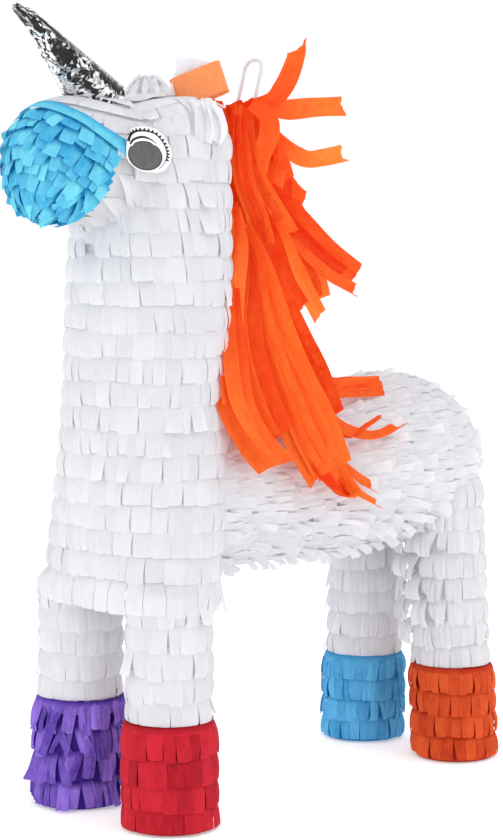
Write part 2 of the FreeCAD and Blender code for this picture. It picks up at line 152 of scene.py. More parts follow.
def tissue(name, light, deep, see_through=0.22, mottle=0.6, crease=0.6, shade=0.8, reach=0.006,
           variety=1.0, painted_glow=0.0):
    """Tissue paper: fibres and soft creases, a tone for each sheet, painted shade towards its root
    and a painted glow.
    """
    paint = new_paint(name)
    place = paint.node("Attribute", attribute_name="sheet").outputs["Vector"]
    fibres = paint.noise(place, FIBRES, 4)
    clouds = paint.noise(place, CLOUDS, 2)
    parts = paint.node("SeparateXYZ", {0: place}).outputs
    tone = paint.node("TexWhiteNoise", {"W": parts["Z"]}, noise_dimensions="1D").outputs["Value"]
    grain = paint.scaled(fibres, mottle, paint.scaled(tone, variety, clouds))
    grain = paint.span(grain, 0.3 + mottle * 0.3, 0.7 + mottle * 0.7 + variety)
    # Painted shade: the colour darkens towards the sheet's root, over reach metres, down to 1 -
    # shade.
    root = paint.span(parts["Y"], 0.0, reach, 1 - shade, 1.0)
    lit = paint.node("Math", {0: grain, 1: root}, operation="MULTIPLY").outputs[0]
    colour = paint.ramp(lit, (0.0, deep), (1.0, light))
    folds = paint.noise(place, FOLDS, 3)
    bump = paint.bump(paint.scaled(fibres, FIBRE_RELIEF, folds), crease, 0.002)
    # Painted light: the paper gives off its own colour at the glow strength.
    paper = paint.principled(colour, 0.82, bump, Specular_IOR_Level=0.22, Emission_Color=colour,
                             Emission_Strength=painted_glow)
    through = paint.node("BsdfTranslucent", {"Color": colour, "Normal": bump})
    both = paint.node("MixShader", {0: see_through, 1: paper.outputs[0], 2: through.outputs[0]})
    return paint.finish("Material", both)


def chipboard(name, light, deep):
    """Grey recycled board with specks and fibres."""
    paint = new_paint(name)
    place = paint.place()
    specks = paint.noise(place, 900, 3)
    mixed = paint.span(paint.scaled(specks, 0.6, paint.noise(place, 45, 4)), 0.55, 1.05)
    colour = paint.ramp(mixed, (0.0, deep), (1.0, light))
    return paint.finish("Material", paint.principled(
        colour, 0.88, paint.bump(specks, 0.25, 0.0006), Specular_IOR_Level=0.2))


def ink(name, light, deep, roughness):
    """Printed card: an even ink with faint mottling and paper tooth."""
    paint = new_paint(name)
    place = paint.place()
    blots = paint.span(paint.noise(place, 260, 3), 0.3, 0.7)
    colour = paint.ramp(blots, (0.0, deep), (1.0, light))
    tooth = paint.bump(paint.noise(place, 2600, 2), 0.1, 0.0003)
    return paint.finish("Material", paint.principled(colour, roughness, tooth,
                                                     Specular_IOR_Level=0.4))


def foil(name):
    """Crumpled foil: painted reflections make its facets bright or dark by how they lie, with fine
    crinkles.
    """
    paint = new_paint(name)
    glint = paint.node("Attribute", attribute_name="glint").outputs["Fac"]
    place = paint.place()
    crinkle = paint.node("TexVoronoi", {"Vector": place, "Scale": 420},
                         feature="DISTANCE_TO_EDGE").outputs["Distance"]
    # Painted reflection: glint with fine mottling picks a colour from near black to near white for
    # each face.
    reflection_and_mottle = paint.scaled(paint.noise(place, 520, 4), 0.34, glint)
    colour = paint.ramp(reflection_and_mottle, (0.36, (0.03, 0.03, 0.032)), (0.52, (0.16, 0.16, 0.165)),
                        (0.70, (0.42, 0.42, 0.43)), (0.84, (0.9, 0.9, 0.91)))
    return paint.finish("Material", paint.principled(
        colour, 0.22, paint.bump(crinkle, 0.35, 0.0006), Metallic=1.0))


def string(name, light, deep):
    """Twisted white cord, painted darker in the grooves of its twist as painted shade."""
    paint = new_paint(name)
    twist = paint.node("TexWave", {"Vector": paint.place(), "Scale": 330, "Distortion": 1.2,
                                   "Detail": 2}, bands_direction="DIAGONAL").outputs["Fac"]
    # Painted shade: the twist's low grooves take the darker colour.
    colour = paint.ramp(twist, (0.1, deep), (0.8, light))
    return paint.finish("Material", paint.principled(
        colour, 0.75, paint.bump(twist, 0.6, 0.0005), Specular_IOR_Level=0.3, Sheen_Weight=0.3))


# White has no painted root shade. The coloured tissues are painted darker towards their roots as
# painted shade (0.8 unless given, band 0.3, purple 0.95); the orange's painted shade reaches 80 mm
# up its strips, and it glows a little as painted light.
WHITE = tissue("white_tissue", (0.962, 0.962, 0.982), (0.83, 0.833, 0.872), 0.36, 0.5, 0.5, 0.0)
BLUE = tissue("blue_tissue", (0.27, 0.90, 1.0), (0.015, 0.36, 0.70), 0.25, crease=0.5)
RED = tissue("red_tissue", (0.81, 0.024, 0.048), (0.34, 0.003, 0.01))
PURPLE = tissue("purple_tissue", (0.46, 0.27, 1.0), (0.05, 0.012, 0.28), shade=0.95)
ORANGE = tissue("orange_tissue", (1.0, 0.27, 0.042), (0.78, 0.016, 0.0), 0.34, 0.6, 0.9, 0.6,
                0.08, 1.7, 0.13)
HOOF_ORANGE = tissue("hoof_tissue", (1.0, 0.155, 0.035), (0.48, 0.02, 0.003))
HOOF_BLUE = tissue("hoof_blue_tissue", (0.17, 0.62, 1.0), (0.025, 0.26, 0.56))
BAND = tissue("band_tissue", (1.0, 0.42, 0.18), (0.93, 0.24, 0.07), 0.25, shade=0.3, reach=0.005)
BOARD = chipboard("chipboard", (0.50, 0.46, 0.40), (0.30, 0.27, 0.23))
CARD = ink("white_card", (0.93, 0.93, 0.94), (0.86, 0.86, 0.88), 0.4)
BLACK = ink("black_ink", (0.012, 0.011, 0.012), (0.006, 0.005, 0.006), 0.35)
GREY = ink("grey_ink", (0.125, 0.115, 0.12), (0.085, 0.078, 0.083), 0.4)
FOIL = foil("silver_foil")
CORD = string("white_cord", (0.9, 0.9, 0.91), (0.62, 0.62, 0.66))


# ---------------------------------------------------------------- sheets of tissue

class Sheets:
    """Pieces of tissue gathered into one mesh. Each keeps its own flat measure and tone."""

    def __init__(self):
        self.points = []
        self.places = []
        self.faces = []
        self.count = 0

    def add(self, points, across, along, kept=None):
        """A rows x columns grid of points, and how far each lies across and along the sheet."""
        rows, columns = points.shape[:2]
        tone = np.full((rows, columns), rng.uniform(0, 10))
        flat = np.broadcast_arrays(across, along, tone)
        self.points.append(points.reshape(-1, 3))
        self.places.append(np.stack(flat, 2).reshape(-1, 3))
        if kept is None:
            kept = np.ones((rows - 1, columns - 1), bool)
        for row, column in np.argwhere(kept).tolist():
            first = self.count + row * columns + column
            self.faces.append((first, first + 1, first + columns + 1, first + columns))
        self.count += rows * columns

    def build(self, name, material, body, replaced):
        """The mesh object of the faces, riding on its CAD body."""
        faces = np.array(self.faces)
        used = np.unique(faces)
        mesh = bpy.data.meshes.new(name)
        mesh.from_pydata(np.concatenate(self.points)[used].tolist(), [],
                         np.searchsorted(used, faces).tolist())
        sheet = mesh.attributes.new("sheet", "FLOAT_VECTOR", "POINT")
        places = np.concatenate(self.places)[used].astype(np.float32)
        sheet.data.foreach_set("vector", places.ravel())
        mesh.polygons.foreach_set("use_smooth", [True] * len(mesh.polygons))
        mesh.materials.append(material)
        return finish_piece(name, mesh, body, replaced)


def new_object(name, data):
    """An object linked to the scene."""
    made = bpy.data.objects.new(name, data)
    bpy.context.scene.collection.objects.link(made)
    return made


def finish_piece(name, data, body, replaced):
    """A piece, with what it rides on, is made of and stands for."""
    piece = new_object(name, data)
    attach(piece, body)
    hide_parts(*replaced)
    return piece


# ---------------------------------------------------------------- outsides of the CAD fringe

def surface_tree(mesh):
    """A mesh's faces, for casting rays at."""
    return BVHTree.FromPolygons([v.co for v in mesh.vertices],
                                [tuple(f.vertices) for f in mesh.polygons])


class Shell:
    """The outside of CAD solids as a grid of points, along an axis and round it."""

    AROUND = 144
    FAR = 0.6
    NEAR = 0.003

    def __init__(self, names, ahead, path, hold_below=-1.0):
        """path: (centre, angle) of each ring; the angle opens the ring's rays forward.

        Below a height, no ring is narrower than the one before it.
        """
        self.names = names
        ahead = Vector(ahead).normalized()
        trees = [surface_tree(nodes[name].data) for name in names]
        rings = [self._cast(trees, ahead, *ring) for ring in path]
        rays, reaches, owners = (np.array(part) for part in zip(*rings))
        centres = np.array([centre for centre, _ in path])
        self.owner = owners
        self._fill(reaches)
        for ring in range(len(path)):
            if centres[ring, 2] < hold_below:
                reaches[ring] = np.maximum(reaches[ring], reaches[ring - 1])
        self.points = centres[:, None] + rays * reaches[..., None]
        steps = np.linalg.norm(np.diff(self.points, axis=0), axis=2)
        self.level = np.concatenate([[0], np.cumsum(np.median(steps, axis=1))])
        wrapped = np.concatenate([self.points[:, -1:], self.points, self.points[:, :1]], 1)
        round_it = (wrapped[:, 2:] - wrapped[:, :-2]) / 2
        self.width = np.linalg.norm(round_it, axis=2) / (TURN / self.AROUND)
        normal = unit(np.cross(round_it, np.gradient(self.points, axis=0)))
        outward = self.points - centres[:, None]
        self.normal = normal * np.sign((normal * outward).sum(2, keepdims=True))

    def _cast(self, trees, ahead, centre, angle):
        """A ring's rays, how far out each meets a solid, and which solid."""
        up = SIDE.cross(ahead)
        rays = []
        reach = np.full(self.AROUND, np.nan)
        owner = np.full(self.AROUND, -1)
        for index in range(self.AROUND):
            turn = index / self.AROUND * TURN
            flat = SIDE * math.cos(turn) + up * math.sin(turn)
            ray = flat * math.cos(angle) + ahead * math.sin(angle)
            rays.append(list(ray))
            for number, tree in enumerate(trees):
                hit, _, _, far = tree.ray_cast(centre + ray * self.FAR, -ray)
                if hit is None or far >= self.FAR - self.NEAR:
                    continue
                if owner[index] < 0 or self.FAR - far > reach[index]:
                    reach[index] = self.FAR - far
                    owner[index] = number
        return rays, reach, owner

    def _fill(self, reaches):
        """Fill gaps from their neighbours round the ring, and empty rings from the nearest."""
        known = np.flatnonzero(~np.isnan(reaches).all(1))
        for ring in known:
            good = np.flatnonzero(~np.isnan(reaches[ring]))
            reaches[ring] = np.interp(np.arange(self.AROUND), good, reaches[ring, good],
                                      period=self.AROUND)
        for ring in range(len(reaches)):
            reaches[ring] = reaches[min(known, key=lambda k: abs(k - ring))]

    def sample(self, grid, level, turn):
        """A grid's values at a level along the shell and a turn round it."""
        place = np.interp(level, self.level, np.arange(len(self.level)))
        low = np.minimum(place.astype(int), len(self.level) - 2)
        part = place - low
        spot = (turn / TURN * self.AROUND) % self.AROUND
        left = spot.astype(int) % self.AROUND
        right = (left + 1) % self.AROUND
        share = spot - np.floor(spot)
        if grid.ndim == 3:
            part = part[..., None]
            share = share[..., None]
        lower = grid[low, left] * (1 - share) + grid[low, right] * share
        upper = grid[low + 1, left] * (1 - share) + grid[low + 1, right] * share
        return lower * (1 - part) + upper * part

    def width_at(self, level, turn):
        """How far apart two spots a radian round the shell are."""
        return self.sample(self.width, np.array([level]), np.array([turn]))[0]

    def owned_by(self, level, turn):
        """The CAD solid under a spot, or None."""
        low = int(np.interp(level, self.level, np.arange(len(self.level))) + 0.5)
        spot = int(turn / TURN * self.AROUND + 0.5) % self.AROUND
        number = self.owner[low, spot]
        return self.names[number] if number >= 0 else None

    def surface(self, level, turn, height):
        """Points at a height over the shell."""
        level, turn = np.broadcast_arrays(np.asarray(level, float), turn)
        normal = unit(self.sample(self.normal, level, turn))
        return self.sample(self.points, level, turn) + normal * np.asarray(height)[..., None]

    def point(self, level, turn):
        """One point on the shell."""
        return self.surface([level], [turn], [0.0])[0]

    def level_where(self, distances, wanted):
        """The level at which the rings' median distance is the wanted one."""
        return float(np.interp(wanted, np.median(distances, axis=1), self.level))


def line_path(start, end, step=5.0):
    """Rings whose centres run along a line, in millimetres."""
    start = Vector(start) * MM
    end = Vector(end) * MM
    count = max(2, int((end - start).length / (step * MM)) + 1)
    return [(start.lerp(end, i / (count - 1)), 0.0) for i in range(count)]


def fan_path(centre, first, last, count):
    """Rings from one centre whose rays open from one angle to another, in degrees."""
    centre = Vector(centre) * MM
    return [(centre, math.radians(first + (last - first) * i / (count - 1)))
            for i in range(count)]


# ---------------------------------------------------------------- fringe

@dataclass
class Cut:
    """How a strip of fringe is cut and how its tabs lie. Lengths in millimetres."""

    narrow: float = 6.0
    wide: float = 15.0
    length: float = 23.5
    ragged: float = 0.8
    root: float = 4.4
    rise: float = 0.52
    fall: float = -0.46
    bend: float = 0.10
    curl_share: float = 0.03
    curl: float = 1.1
    skew: float = 0.03
    roll: float = 0.03
    cup: float = 0.35
    pleat: float = 0.42
    wave: float = 0.9
    drop: float = 0.3


ROWS, COLUMNS = 8, 7
SHORTEST = 4.0
DEEPEST = -5.3
BOARD_DEPTH = 5.0
TIP_BEND = 2.2
CORNER_LOSS = 0.7
OVERLAP = 1.04
WIDEST_TURN = 0.8
WRAP_STEP = 0.006


def tab_profile(cut):
    """How far each row of a tab is along it, ahead of its root and above the shell."""
    length = max(SHORTEST, rng.normal(cut.length, cut.ragged))
    t = np.linspace(0, 1, ROWS)
    bend = abs(rng.normal(0, cut.bend))
    if rng.random() < cut.curl_share:
        bend = rng.uniform(0.5, 1.0) * cut.curl
    heading = (cut.rise + (cut.fall - cut.rise) * t + bend * t ** TIP_BEND)[:-1]
    step = length / (ROWS - 1)
    ahead = np.concatenate([[0], np.cumsum(np.cos(heading) * step)])
    height = np.concatenate([[0], np.cumsum(np.sin(heading) * step)]) - cut.root
    return (t * length)[:, None], ahead[:, None], height[:, None]


def tab(sheets, shell, level, turn, width, cut, limit=None, scale=1.0):
    """One tab: it rises from its root, and its tip tucks in over the next strip's roots."""
    along, ahead, height = tab_profile(cut)
    t = np.linspace(0, 1, ROWS)[:, None]
    u = np.linspace(-0.5, 0.5, COLUMNS)[None, :]
    across = width * u * (1 - rng.uniform(-0.06, 0.1) * t)
    skew = rng.normal(0, cut.skew)
    slide = across * math.cos(skew) + ahead * math.sin(skew)
    ahead = ahead * math.cos(skew) - across * math.sin(skew) * 0.8
    ahead = ahead - CORNER_LOSS * (2 * np.abs(u)) ** 5 * t ** 4
    roll = rng.normal(0, cut.roll)
    cup = rng.normal(-0.3, cut.cup)
    lift = roll * across * t + cup * (4 * u ** 2 - 0.4) * t ** 1.5
    folds = rng.uniform(0, TURN) + across * rng.uniform(0.8, 1.9)
    lift = lift + cut.pleat * np.sin(folds) * (0.3 + 0.7 * t)
    high = np.maximum((height + lift) * scale, DEEPEST) + rng.uniform(0, 0.4)
    levels = level + ahead * MM
    if limit is not None:
        levels = np.minimum(levels, limit)
    turns = turn + slide * MM / max(shell.width_at(level, turn), 0.004)
    sheets.add(shell.surface(levels, turns, high * MM), across * MM, along * MM)


def strip(choose, shell, level, cut):
    """One strip of fringe round a shell. choose gives a tab its sheets and its cut."""
    start = rng.uniform(0, TURN)
    turn = start
    phase = rng.uniform(0, TURN, 3)
    while turn < start + TURN:
        width = rng.uniform(cut.narrow, cut.wide)
        reach = shell.width_at(level, turn % TURN)
        span = min(width * MM / max(reach, 0.003), WIDEST_TURN)
        middle = turn + span / 2
        sway = sum(math.sin(middle * k + phase[k - 1]) / k for k in (1, 2, 3))
        spot = level + (cut.wave * sway + rng.normal(0, cut.drop)) * MM
        spot = max(spot, shell.level[0])
        chosen = choose(spot, middle % TURN, cut)
        if chosen is not None:
            tab(chosen[0], shell, spot, middle % TURN, width * OVERLAP, *chosen[1:])
        turn += span


def header(sheets, shell, level, tall, low, high, wobble, keep=lambda point: True):
    """The uncut upper part of a strip, laid flat round a shell where keep(point) holds."""
    turns = np.linspace(0.0, 1.0, 97)[None, :] * TURN
    t = np.linspace(0, 1, 4)[:, None]
    phase = rng.uniform(0, TURN, 4)
    sway = sum(np.sin(turns * k + phase[k - 1]) / k for k in (1, 2, 3, 4))
    levels = level + (wobble * sway + tall * t) * MM
    heights = low + (high - low) * t + 0.25 * np.sin(turns * 9 + phase[0])
    points = shell.surface(levels, turns, heights * MM)
    kept = np.array([[keep(point) for point in row[:-1]] for row in points[:-1]])
    sheets.add(points, turns * shell.width_at(level, 0.0), tall * t * MM, kept)


def wrap(sheets, shell, depth, wanted):
    """Plain tissue pasted on the board under the tabs, wherever wanted(owner, point) holds."""
    turns = np.linspace(0, TURN, Shell.AROUND // 2 + 1)
    levels = np.append(np.arange(shell.level[0], shell.level[-1], WRAP_STEP), shell.level[-1])
    points = shell.surface(levels[:, None], turns[None, :], np.full((1, 1), -depth * MM))
    kept = np.zeros((len(levels) - 1, len(turns) - 1), bool)
    for row, column in np.ndindex(kept.shape):
        middle = points[row:row + 2, column:column + 2].reshape(-1, 3).mean(0)
        owner = shell.owned_by(levels[row:row + 2].mean(), turns[column:column + 2].mean())
        kept[row, column] = wanted(owner, middle)
    if kept.any():
        # Its along measure is zero, so a coloured wrap takes its tissue's full painted root shade.
        sheets.add(points, turns[None, :] * 0.06, np.zeros((len(levels), 1)), kept)


PITCH = 18.3 * MM
WHITE_CUT = Cut()

# Head and neck: strips run level round the crown, nose and neck, and their tabs hang down.
HEM_RISE = 7.0 * MM
HEM_LENGTH = 27.0
CROWN = (0, -138, 506)
NECK_LINES = (((0, -138, 501), (0, -126, 440)), ((0, -126, 435), (0, -117, 370)),
              ((0, -117, 365), (0, -119, 310)), ((0, -119, 305), (0, -136, 152)))
chest_low, chest_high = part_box("chest_floor")
neck_path = fan_path(CROWN, -88, 0, 20) + sum((line_path(*ends) for ends in NECK_LINES), [])[1:]
head = Shell(["neck_fringe", "nose_fringe", "muzzle_fringe", "leg_fringe_front_left",
              "leg_fringe_front_right"], DOWN, neck_path, chest_high.z)

# The muzzle's strips lie in planes tilted forward, from a straight edge in front of the eyes.
MUZZLE_MIDDLE = (0, -195, 492)
MUZZLE_CENTRE = np.array(MUZZLE_MIDDLE) * MM
MUZZLE_AHEAD = np.array([0, -0.585, -0.811])
MUZZLE_EDGE = -21.6 * MM
CHIN = (-177 * MM, 502 * MM)
CHIN_SLOPE = 0.31
THROAT_LEVEL = 430 * MM
THROAT_ROWS = (0.003, 0.021)
MUZZLE_PITCH = 0.0105


def past_chin(point):
    """How far a spot is behind the back edge of the coloured strips."""
    return point[1] - CHIN[0] - CHIN_SLOPE * (point[2] - CHIN[1])


def is_blue(point, margin=0.0):
    """Whether a spot of the nose is under the muzzle's coloured strips."""
    ahead = float((np.asarray(point) - MUZZLE_CENTRE) @ MUZZLE_AHEAD)
    return (ahead > MUZZLE_EDGE + margin * MM and past_chin(point) < -margin * MM
            and point[2] > THROAT_LEVEL)


BRIDGE_CUT = replace(WHITE_CUT, narrow=22, wide=34, length=21, bend=0.03, curl_share=0, roll=0.0,
                     rise=0.3, fall=-0.1, cup=0.1, pleat=0.15)
TOP_CUT = replace(WHITE_CUT, curl_share=0.06, root=5.2, rise=0.2, fall=-0.14, cup=0.2)
BRIDGE_FROM = (-0.150, 0.518)
TOP_FROM = 0.53
CHEST_FRONT, CHEST_TOP = -0.095, 0.215
SHORTEST_CUT = 5
neck_sheets = Sheets()
nose_sheets = Sheets()


def over_front_leg(point):
    """Whether a spot of the chest's foot is where a front leg meets it."""
    return chest_low.z - 0.001 < point[2] < CHEST_TOP and point[1] < CHEST_FRONT


def choose_white(spot, turn, cut):
    """White tabs of the head and neck, cut short in front of the coloured strips."""
    owner = head.owned_by(spot, turn)
    point = head.point(spot, turn)
    if owner is None and over_front_leg(point):
        owner = "neck_fringe"
    if owner is None or is_blue(point, -4.5):
        return None
    sheets = neck_sheets if owner == "neck_fringe" else nose_sheets
    if point[1] < BRIDGE_FROM[0] and point[2] > BRIDGE_FROM[1]:
        cut = BRIDGE_CUT
    elif point[2] > TOP_FROM:
        cut = TOP_CUT
    free = cut.length
    while free > 3 and is_blue(head.point(spot + free * MM, turn), 0.5):
        free -= 2
    if free < SHORTEST_CUT:
        return None
    if free < cut.length:
        cut = replace(cut, length=free, ragged=0.3, curl_share=0, rise=cut.rise * 0.6, fall=0.0)
    return sheets, cut


hem_level = head.level_where(-head.points[..., 2], -(HEM_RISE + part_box("neck_fringe")[0].z))
for row_level in np.arange(0.006, hem_level - PITCH / 2, PITCH):
    strip(choose_white, head, row_level, WHITE_CUT)
strip(choose_white, head, hem_level, replace(WHITE_CUT, length=HEM_LENGTH))
wrap(neck_sheets, head, BOARD_DEPTH,
     lambda owner, point: owner == "neck_fringe" or over_front_leg(point))

# Under the chin the nose hides the neck from the rows above, so the throat has its own.
throat = Shell(["neck_fringe"], DOWN, line_path((0, -126, 475), (0, -126, 400)))


def choose_throat(spot, turn, cut):
    """Tabs on the throat's front only."""
    forward = 1.3 * math.pi < turn < 1.7 * math.pi
    return (neck_sheets, cut) if forward else None


for row_level in THROAT_ROWS:
    strip(choose_throat, throat, row_level, WHITE_CUT)
wrap(nose_sheets, head, BOARD_DEPTH, lambda owner, point: owner == "nose_fringe" or (
    owner == "muzzle_fringe" and not is_blue(point, 6.0)))
neck_sheets.build("fringe_neck", WHITE, "pinata", ["neck_fringe"])
nose_sheets.build("fringe_nose", WHITE, "pinata", ["nose_fringe"])

muzzle = Shell(["muzzle_fringe", "nose_fringe"], MUZZLE_AHEAD,
               fan_path(MUZZLE_MIDDLE, -34, 89, 34))
muzzle_sheets = Sheets()
MUZZLE_CUT = Cut(narrow=7, wide=13, length=16, ragged=1.8, root=3.9, rise=0.5, fall=-0.12,
                 bend=0.2, curl_share=0.08, curl=0.9, skew=0.15, roll=0.17, cup=0.5, pleat=0.2,
                 wave=1.6, drop=0.9)
NOSTRIL_LEVEL = 0.475


def choose_blue(spot, turn, cut):
    """Tabs of the muzzle, looser under it."""
    point = muzzle.point(spot, turn)
    if muzzle.owned_by(spot, turn) is None or past_chin(point) > 0:
        return None
    if point[2] < NOSTRIL_LEVEL:
        cut = replace(cut, skew=0.5, roll=0.3, bend=0.4, narrow=5, wide=10)
    return muzzle_sheets, cut


edge_level = muzzle.level_where((muzzle.points - MUZZLE_CENTRE) @ MUZZLE_AHEAD, MUZZLE_EDGE)
for row_level in np.arange(edge_level + 0.005, muzzle.level[-1] - 0.004, MUZZLE_PITCH):
    strip(choose_blue, muzzle, row_level, MUZZLE_CUT)
header(muzzle_sheets, muzzle, edge_level - 0.001, 10.5, -0.4, 0.2, 0.3,
       keep=lambda point: past_chin(point) < 0.004)
wrap(muzzle_sheets, muzzle, 4.6, lambda owner, point: owner == "muzzle_fringe" and is_blue(point))
muzzle_sheets.build("fringe_muzzle", BLUE, "pinata", ["muzzle_fringe"])

# Barrel: strips stand round the barrel, and their tabs point to the rump.
FLAP_LOW, FLAP_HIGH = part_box("fill_flap")
HINGE_X = FLAP_LOW.x
FLAP_ROWS = 4
BACK_LEVEL = 0.28
SADDLE_LEVEL = 0.29
NECK_JOINT = -0.04
RUMP_FRONT, RUMP_LEVEL = 0.115, 0.262
BELLY = -0.35
BARE_CREASE = 10.5
QUIET_CREASE = 16
FLAP_PLAY = 0.004
barrel_pitch = (FLAP_HIGH.y - FLAP_LOW.y) / FLAP_ROWS
barrel_path = (line_path((0, -114, 245), (0, 95, 248)) + line_path((0, 100, 248), (0, 172, 251))
               + fan_path((0, 172, 251), 3, 89, 24))
barrel = Shell(["barrel_fringe", "flap_fringe"], (0, 1, 0), barrel_path)
barrel_sheets = Sheets()
flap_sheets = Sheets()
BARREL_CUT = replace(WHITE_CUT, narrow=5, wide=11, length=20.5, ragged=1.5, curl_share=0.12,
                     curl=1.6, bend=0.2, rise=0.42, fall=-0.38, cup=0.6, roll=0.06, skew=0.07,
                     pleat=0.5, wave=1.3, drop=0.8)
BELLY_CUT = replace(BARREL_CUT, curl_share=0.35, curl=2.2, length=24, skew=0.14)


def over_flap(point):
    """Whether a spot on the back is on the fill flap."""
    return (HINGE_X < point[0] < FLAP_HIGH.x and FLAP_LOW.y - 0.001 < point[1] < FLAP_HIGH.y
            and point[2] > BACK_LEVEL)


def near_hinge(point):
    """How far a spot on the back is from the flap's hinge line, in millimetres."""
    if point[2] < BACK_LEVEL or not (
            FLAP_LOW.y - FLAP_PLAY < point[1] < FLAP_HIGH.y + FLAP_PLAY):
        return 99.0
    return abs(point[0] - HINGE_X) / MM


def over_hind_leg(point):
    """Whether a spot of the rump is where a hind leg meets it."""
    return point[1] > RUMP_FRONT and point[2] < RUMP_LEVEL


def choose_barrel(spot, turn, cut):
    """Tabs of the barrel and flap: lower and plainer by the hinge, cut off before the flap."""
    point = barrel.point(spot, turn)
    crease = near_hinge(point)
    bare = crease > BARE_CREASE and not over_hind_leg(point) and point[1] > NECK_JOINT
    if bare and barrel.owned_by(spot, turn) is None:
        return None
    scale = float(np.clip((crease + 1) / 10, 0.45, 1.0))
    if over_flap(point):
        return flap_sheets, cut, None, scale
    limit = None
    beside = HINGE_X - FLAP_PLAY < point[0] < FLAP_HIGH.x + FLAP_PLAY
    if beside and point[2] > BACK_LEVEL and spot < flap_level:
        limit = flap_level - 0.0004
    if crease < QUIET_CREASE:
        cut = replace(cut, curl_share=0.0, skew=0.0, roll=0.02, bend=0.1, ragged=0.5)
    elif point[2] > SADDLE_LEVEL and point[1] < FLAP_HIGH.y:
        cut = replace(cut, curl_share=0.05)
    if math.sin(turn) < BELLY:
        cut = BELLY_CUT
    return barrel_sheets, cut, limit, scale


flap_level = barrel.level_where(barrel.points[..., 1], FLAP_LOW.y)
before = int((flap_level - barrel.level[0]) / barrel_pitch)
first_level = flap_level - before * barrel_pitch
for row_level in np.arange(first_level, barrel.level[-1] - 0.005, barrel_pitch):
    quiet = abs(row_level - flap_level) < 0.001
    strip(choose_barrel, barrel, row_level + 0.0006,
          replace(BARREL_CUT, wave=0.2, drop=0.1) if quiet else BARREL_CUT)
wrap(barrel_sheets, barrel, BOARD_DEPTH, lambda owner, point: not over_flap(point) and (
    owner is not None or near_hinge(point) < 12 or over_hind_leg(point)
    or point[1] < NECK_JOINT))
wrap(flap_sheets, barrel, BOARD_DEPTH, lambda owner, point: over_flap(point))
barrel_sheets.build("fringe_barrel", WHITE, "pinata", ["barrel_fringe"])
flap_sheets.build("fringe_flap", WHITE, "fill_flap", ["flap_fringe"])

# Legs and hooves: strips run level, and their tabs hang down.
LEG_CUT = replace(WHITE_CUT, narrow=8, wide=15, length=25, curl_share=0.03)
HIND_CUT = replace(LEG_CUT, narrow=5, wide=11, length=23, curl_share=0.08, pleat=0.5)
RUFFLE_CUT = replace(HIND_CUT, narrow=5, wide=10, length=28, ragged=2.5, fall=-0.75, bend=0.35,
                     curl_share=0.25, curl=-1.3, skew=0.13, roll=0.2, cup=1.0, pleat=0.9, wave=2.0)
RED_CUT = Cut(narrow=8, wide=14, length=26, root=3.4, rise=0.4, fall=-0.26, pleat=0.2, wave=0.6)
PURPLE_CUT = Cut(narrow=4, wide=10, length=25, root=3.6, rise=0.48, bend=0.3, roll=0.3, cup=1.5,
                 skew=0.2, curl_share=0.12, curl=1.5, pleat=0.9, wave=1.6, drop=1.2)
HIND_HOOF_CUT = Cut(narrow=6, wide=11, length=22, root=3.4, bend=0.15, roll=0.09, cup=0.6,
                    skew=0.08)
HOOVES = {
    "front_left": (RED, "red_tissue", RED_CUT),
    "front_right": (PURPLE, "purple_tissue", PURPLE_CUT),
    "hind_left": (HOOF_ORANGE, "orange_tissue", HIND_HOOF_CUT),
    "hind_right": (HOOF_BLUE, "blue_tissue", HIND_HOOF_CUT),
}
LEG_PITCH = PITCH * 1.06
HOOF_ROWS = 4
COLLAR = 12 * MM
JOINT = 40 * MM
RUFFLED_LEG = "hind_left"
RUFFLE_TURN = math.radians(228)
RUFFLE_DEPTH = 0.14
FLOOR_GAP = 0.0012


def cover_leg(leg, hoof_paint, hoof_slot, hoof_cut):
    """The white strips of a leg, and the coloured strips of its hoof."""
    leg_low, leg_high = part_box(f"leg_fringe_{leg}")
    disc_low, disc_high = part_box(f"hoof_disc_{leg}")
    foot = (disc_low + disc_high) / 2 / MM
    top = (leg_low + leg_high) / 2 / MM
    hoof_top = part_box(f"hoof_fringe_{leg}")[1].z
    leg_top = leg_high.z + (COLLAR if leg.startswith("hind") else 0)
    shell = Shell([f"leg_fringe_{leg}", f"hoof_fringe_{leg}"], DOWN,
                  line_path((top.x, top.y, leg_top / MM), (foot.x, foot.y, 0.5)))
    white = Sheets()
    hoof = Sheets()
    hoof_level = shell.level[0] + (leg_top - hoof_top)
    floor_level = shell.level[0] + leg_top - FLOOR_GAP
    last = hoof_level - 0.0015

    def choose_leg(spot, turn, cut):
        """Tabs of the leg, ruffled inside the one leg's top."""
        if not shell.owned_by(spot, turn) and spot > COLLAR + JOINT:
            return None
        lean = max(0.0, math.cos(turn - RUFFLE_TURN))
        if leg == RUFFLED_LEG and spot < RUFFLE_DEPTH and lean > 0.25:
            cut = replace(RUFFLE_CUT, rise=0.5 + 0.8 * lean)
            return white, cut, last, 1 + 0.4 * lean
        return white, cut, last

    leg_cut = HIND_CUT if leg.startswith("hind") else LEG_CUT
    for level in np.arange(hoof_level - 0.021, -0.012, -LEG_PITCH)[::-1]:
        strip(choose_leg, shell, level, leg_cut)
    wrap(white, shell, BOARD_DEPTH, lambda owner, point: point[2] > hoof_top - 0.004)
    hoof_pitch = (floor_level - hoof_level) / (HOOF_ROWS + 0.15)
    for number in range(HOOF_ROWS):
        strip(lambda spot, turn, cut: (hoof, cut, floor_level), shell,
              hoof_level + number * hoof_pitch, hoof_cut)
    header(hoof, shell, hoof_level - 0.001, 11.0, -1.0, -1.0, 0.8)
    wrap(hoof, shell, 3.9, lambda owner, point: point[2] < hoof_top)
    white.build(f"fringe_leg_{leg}", WHITE, "pinata", [f"leg_fringe_{leg}"])
    hoof.build(f"fringe_hoof_{leg}", hoof_paint, "pinata", [f"hoof_fringe_{leg}"])


for leg, hoof_look in HOOVES.items():
    cover_leg(leg, *hoof_look)


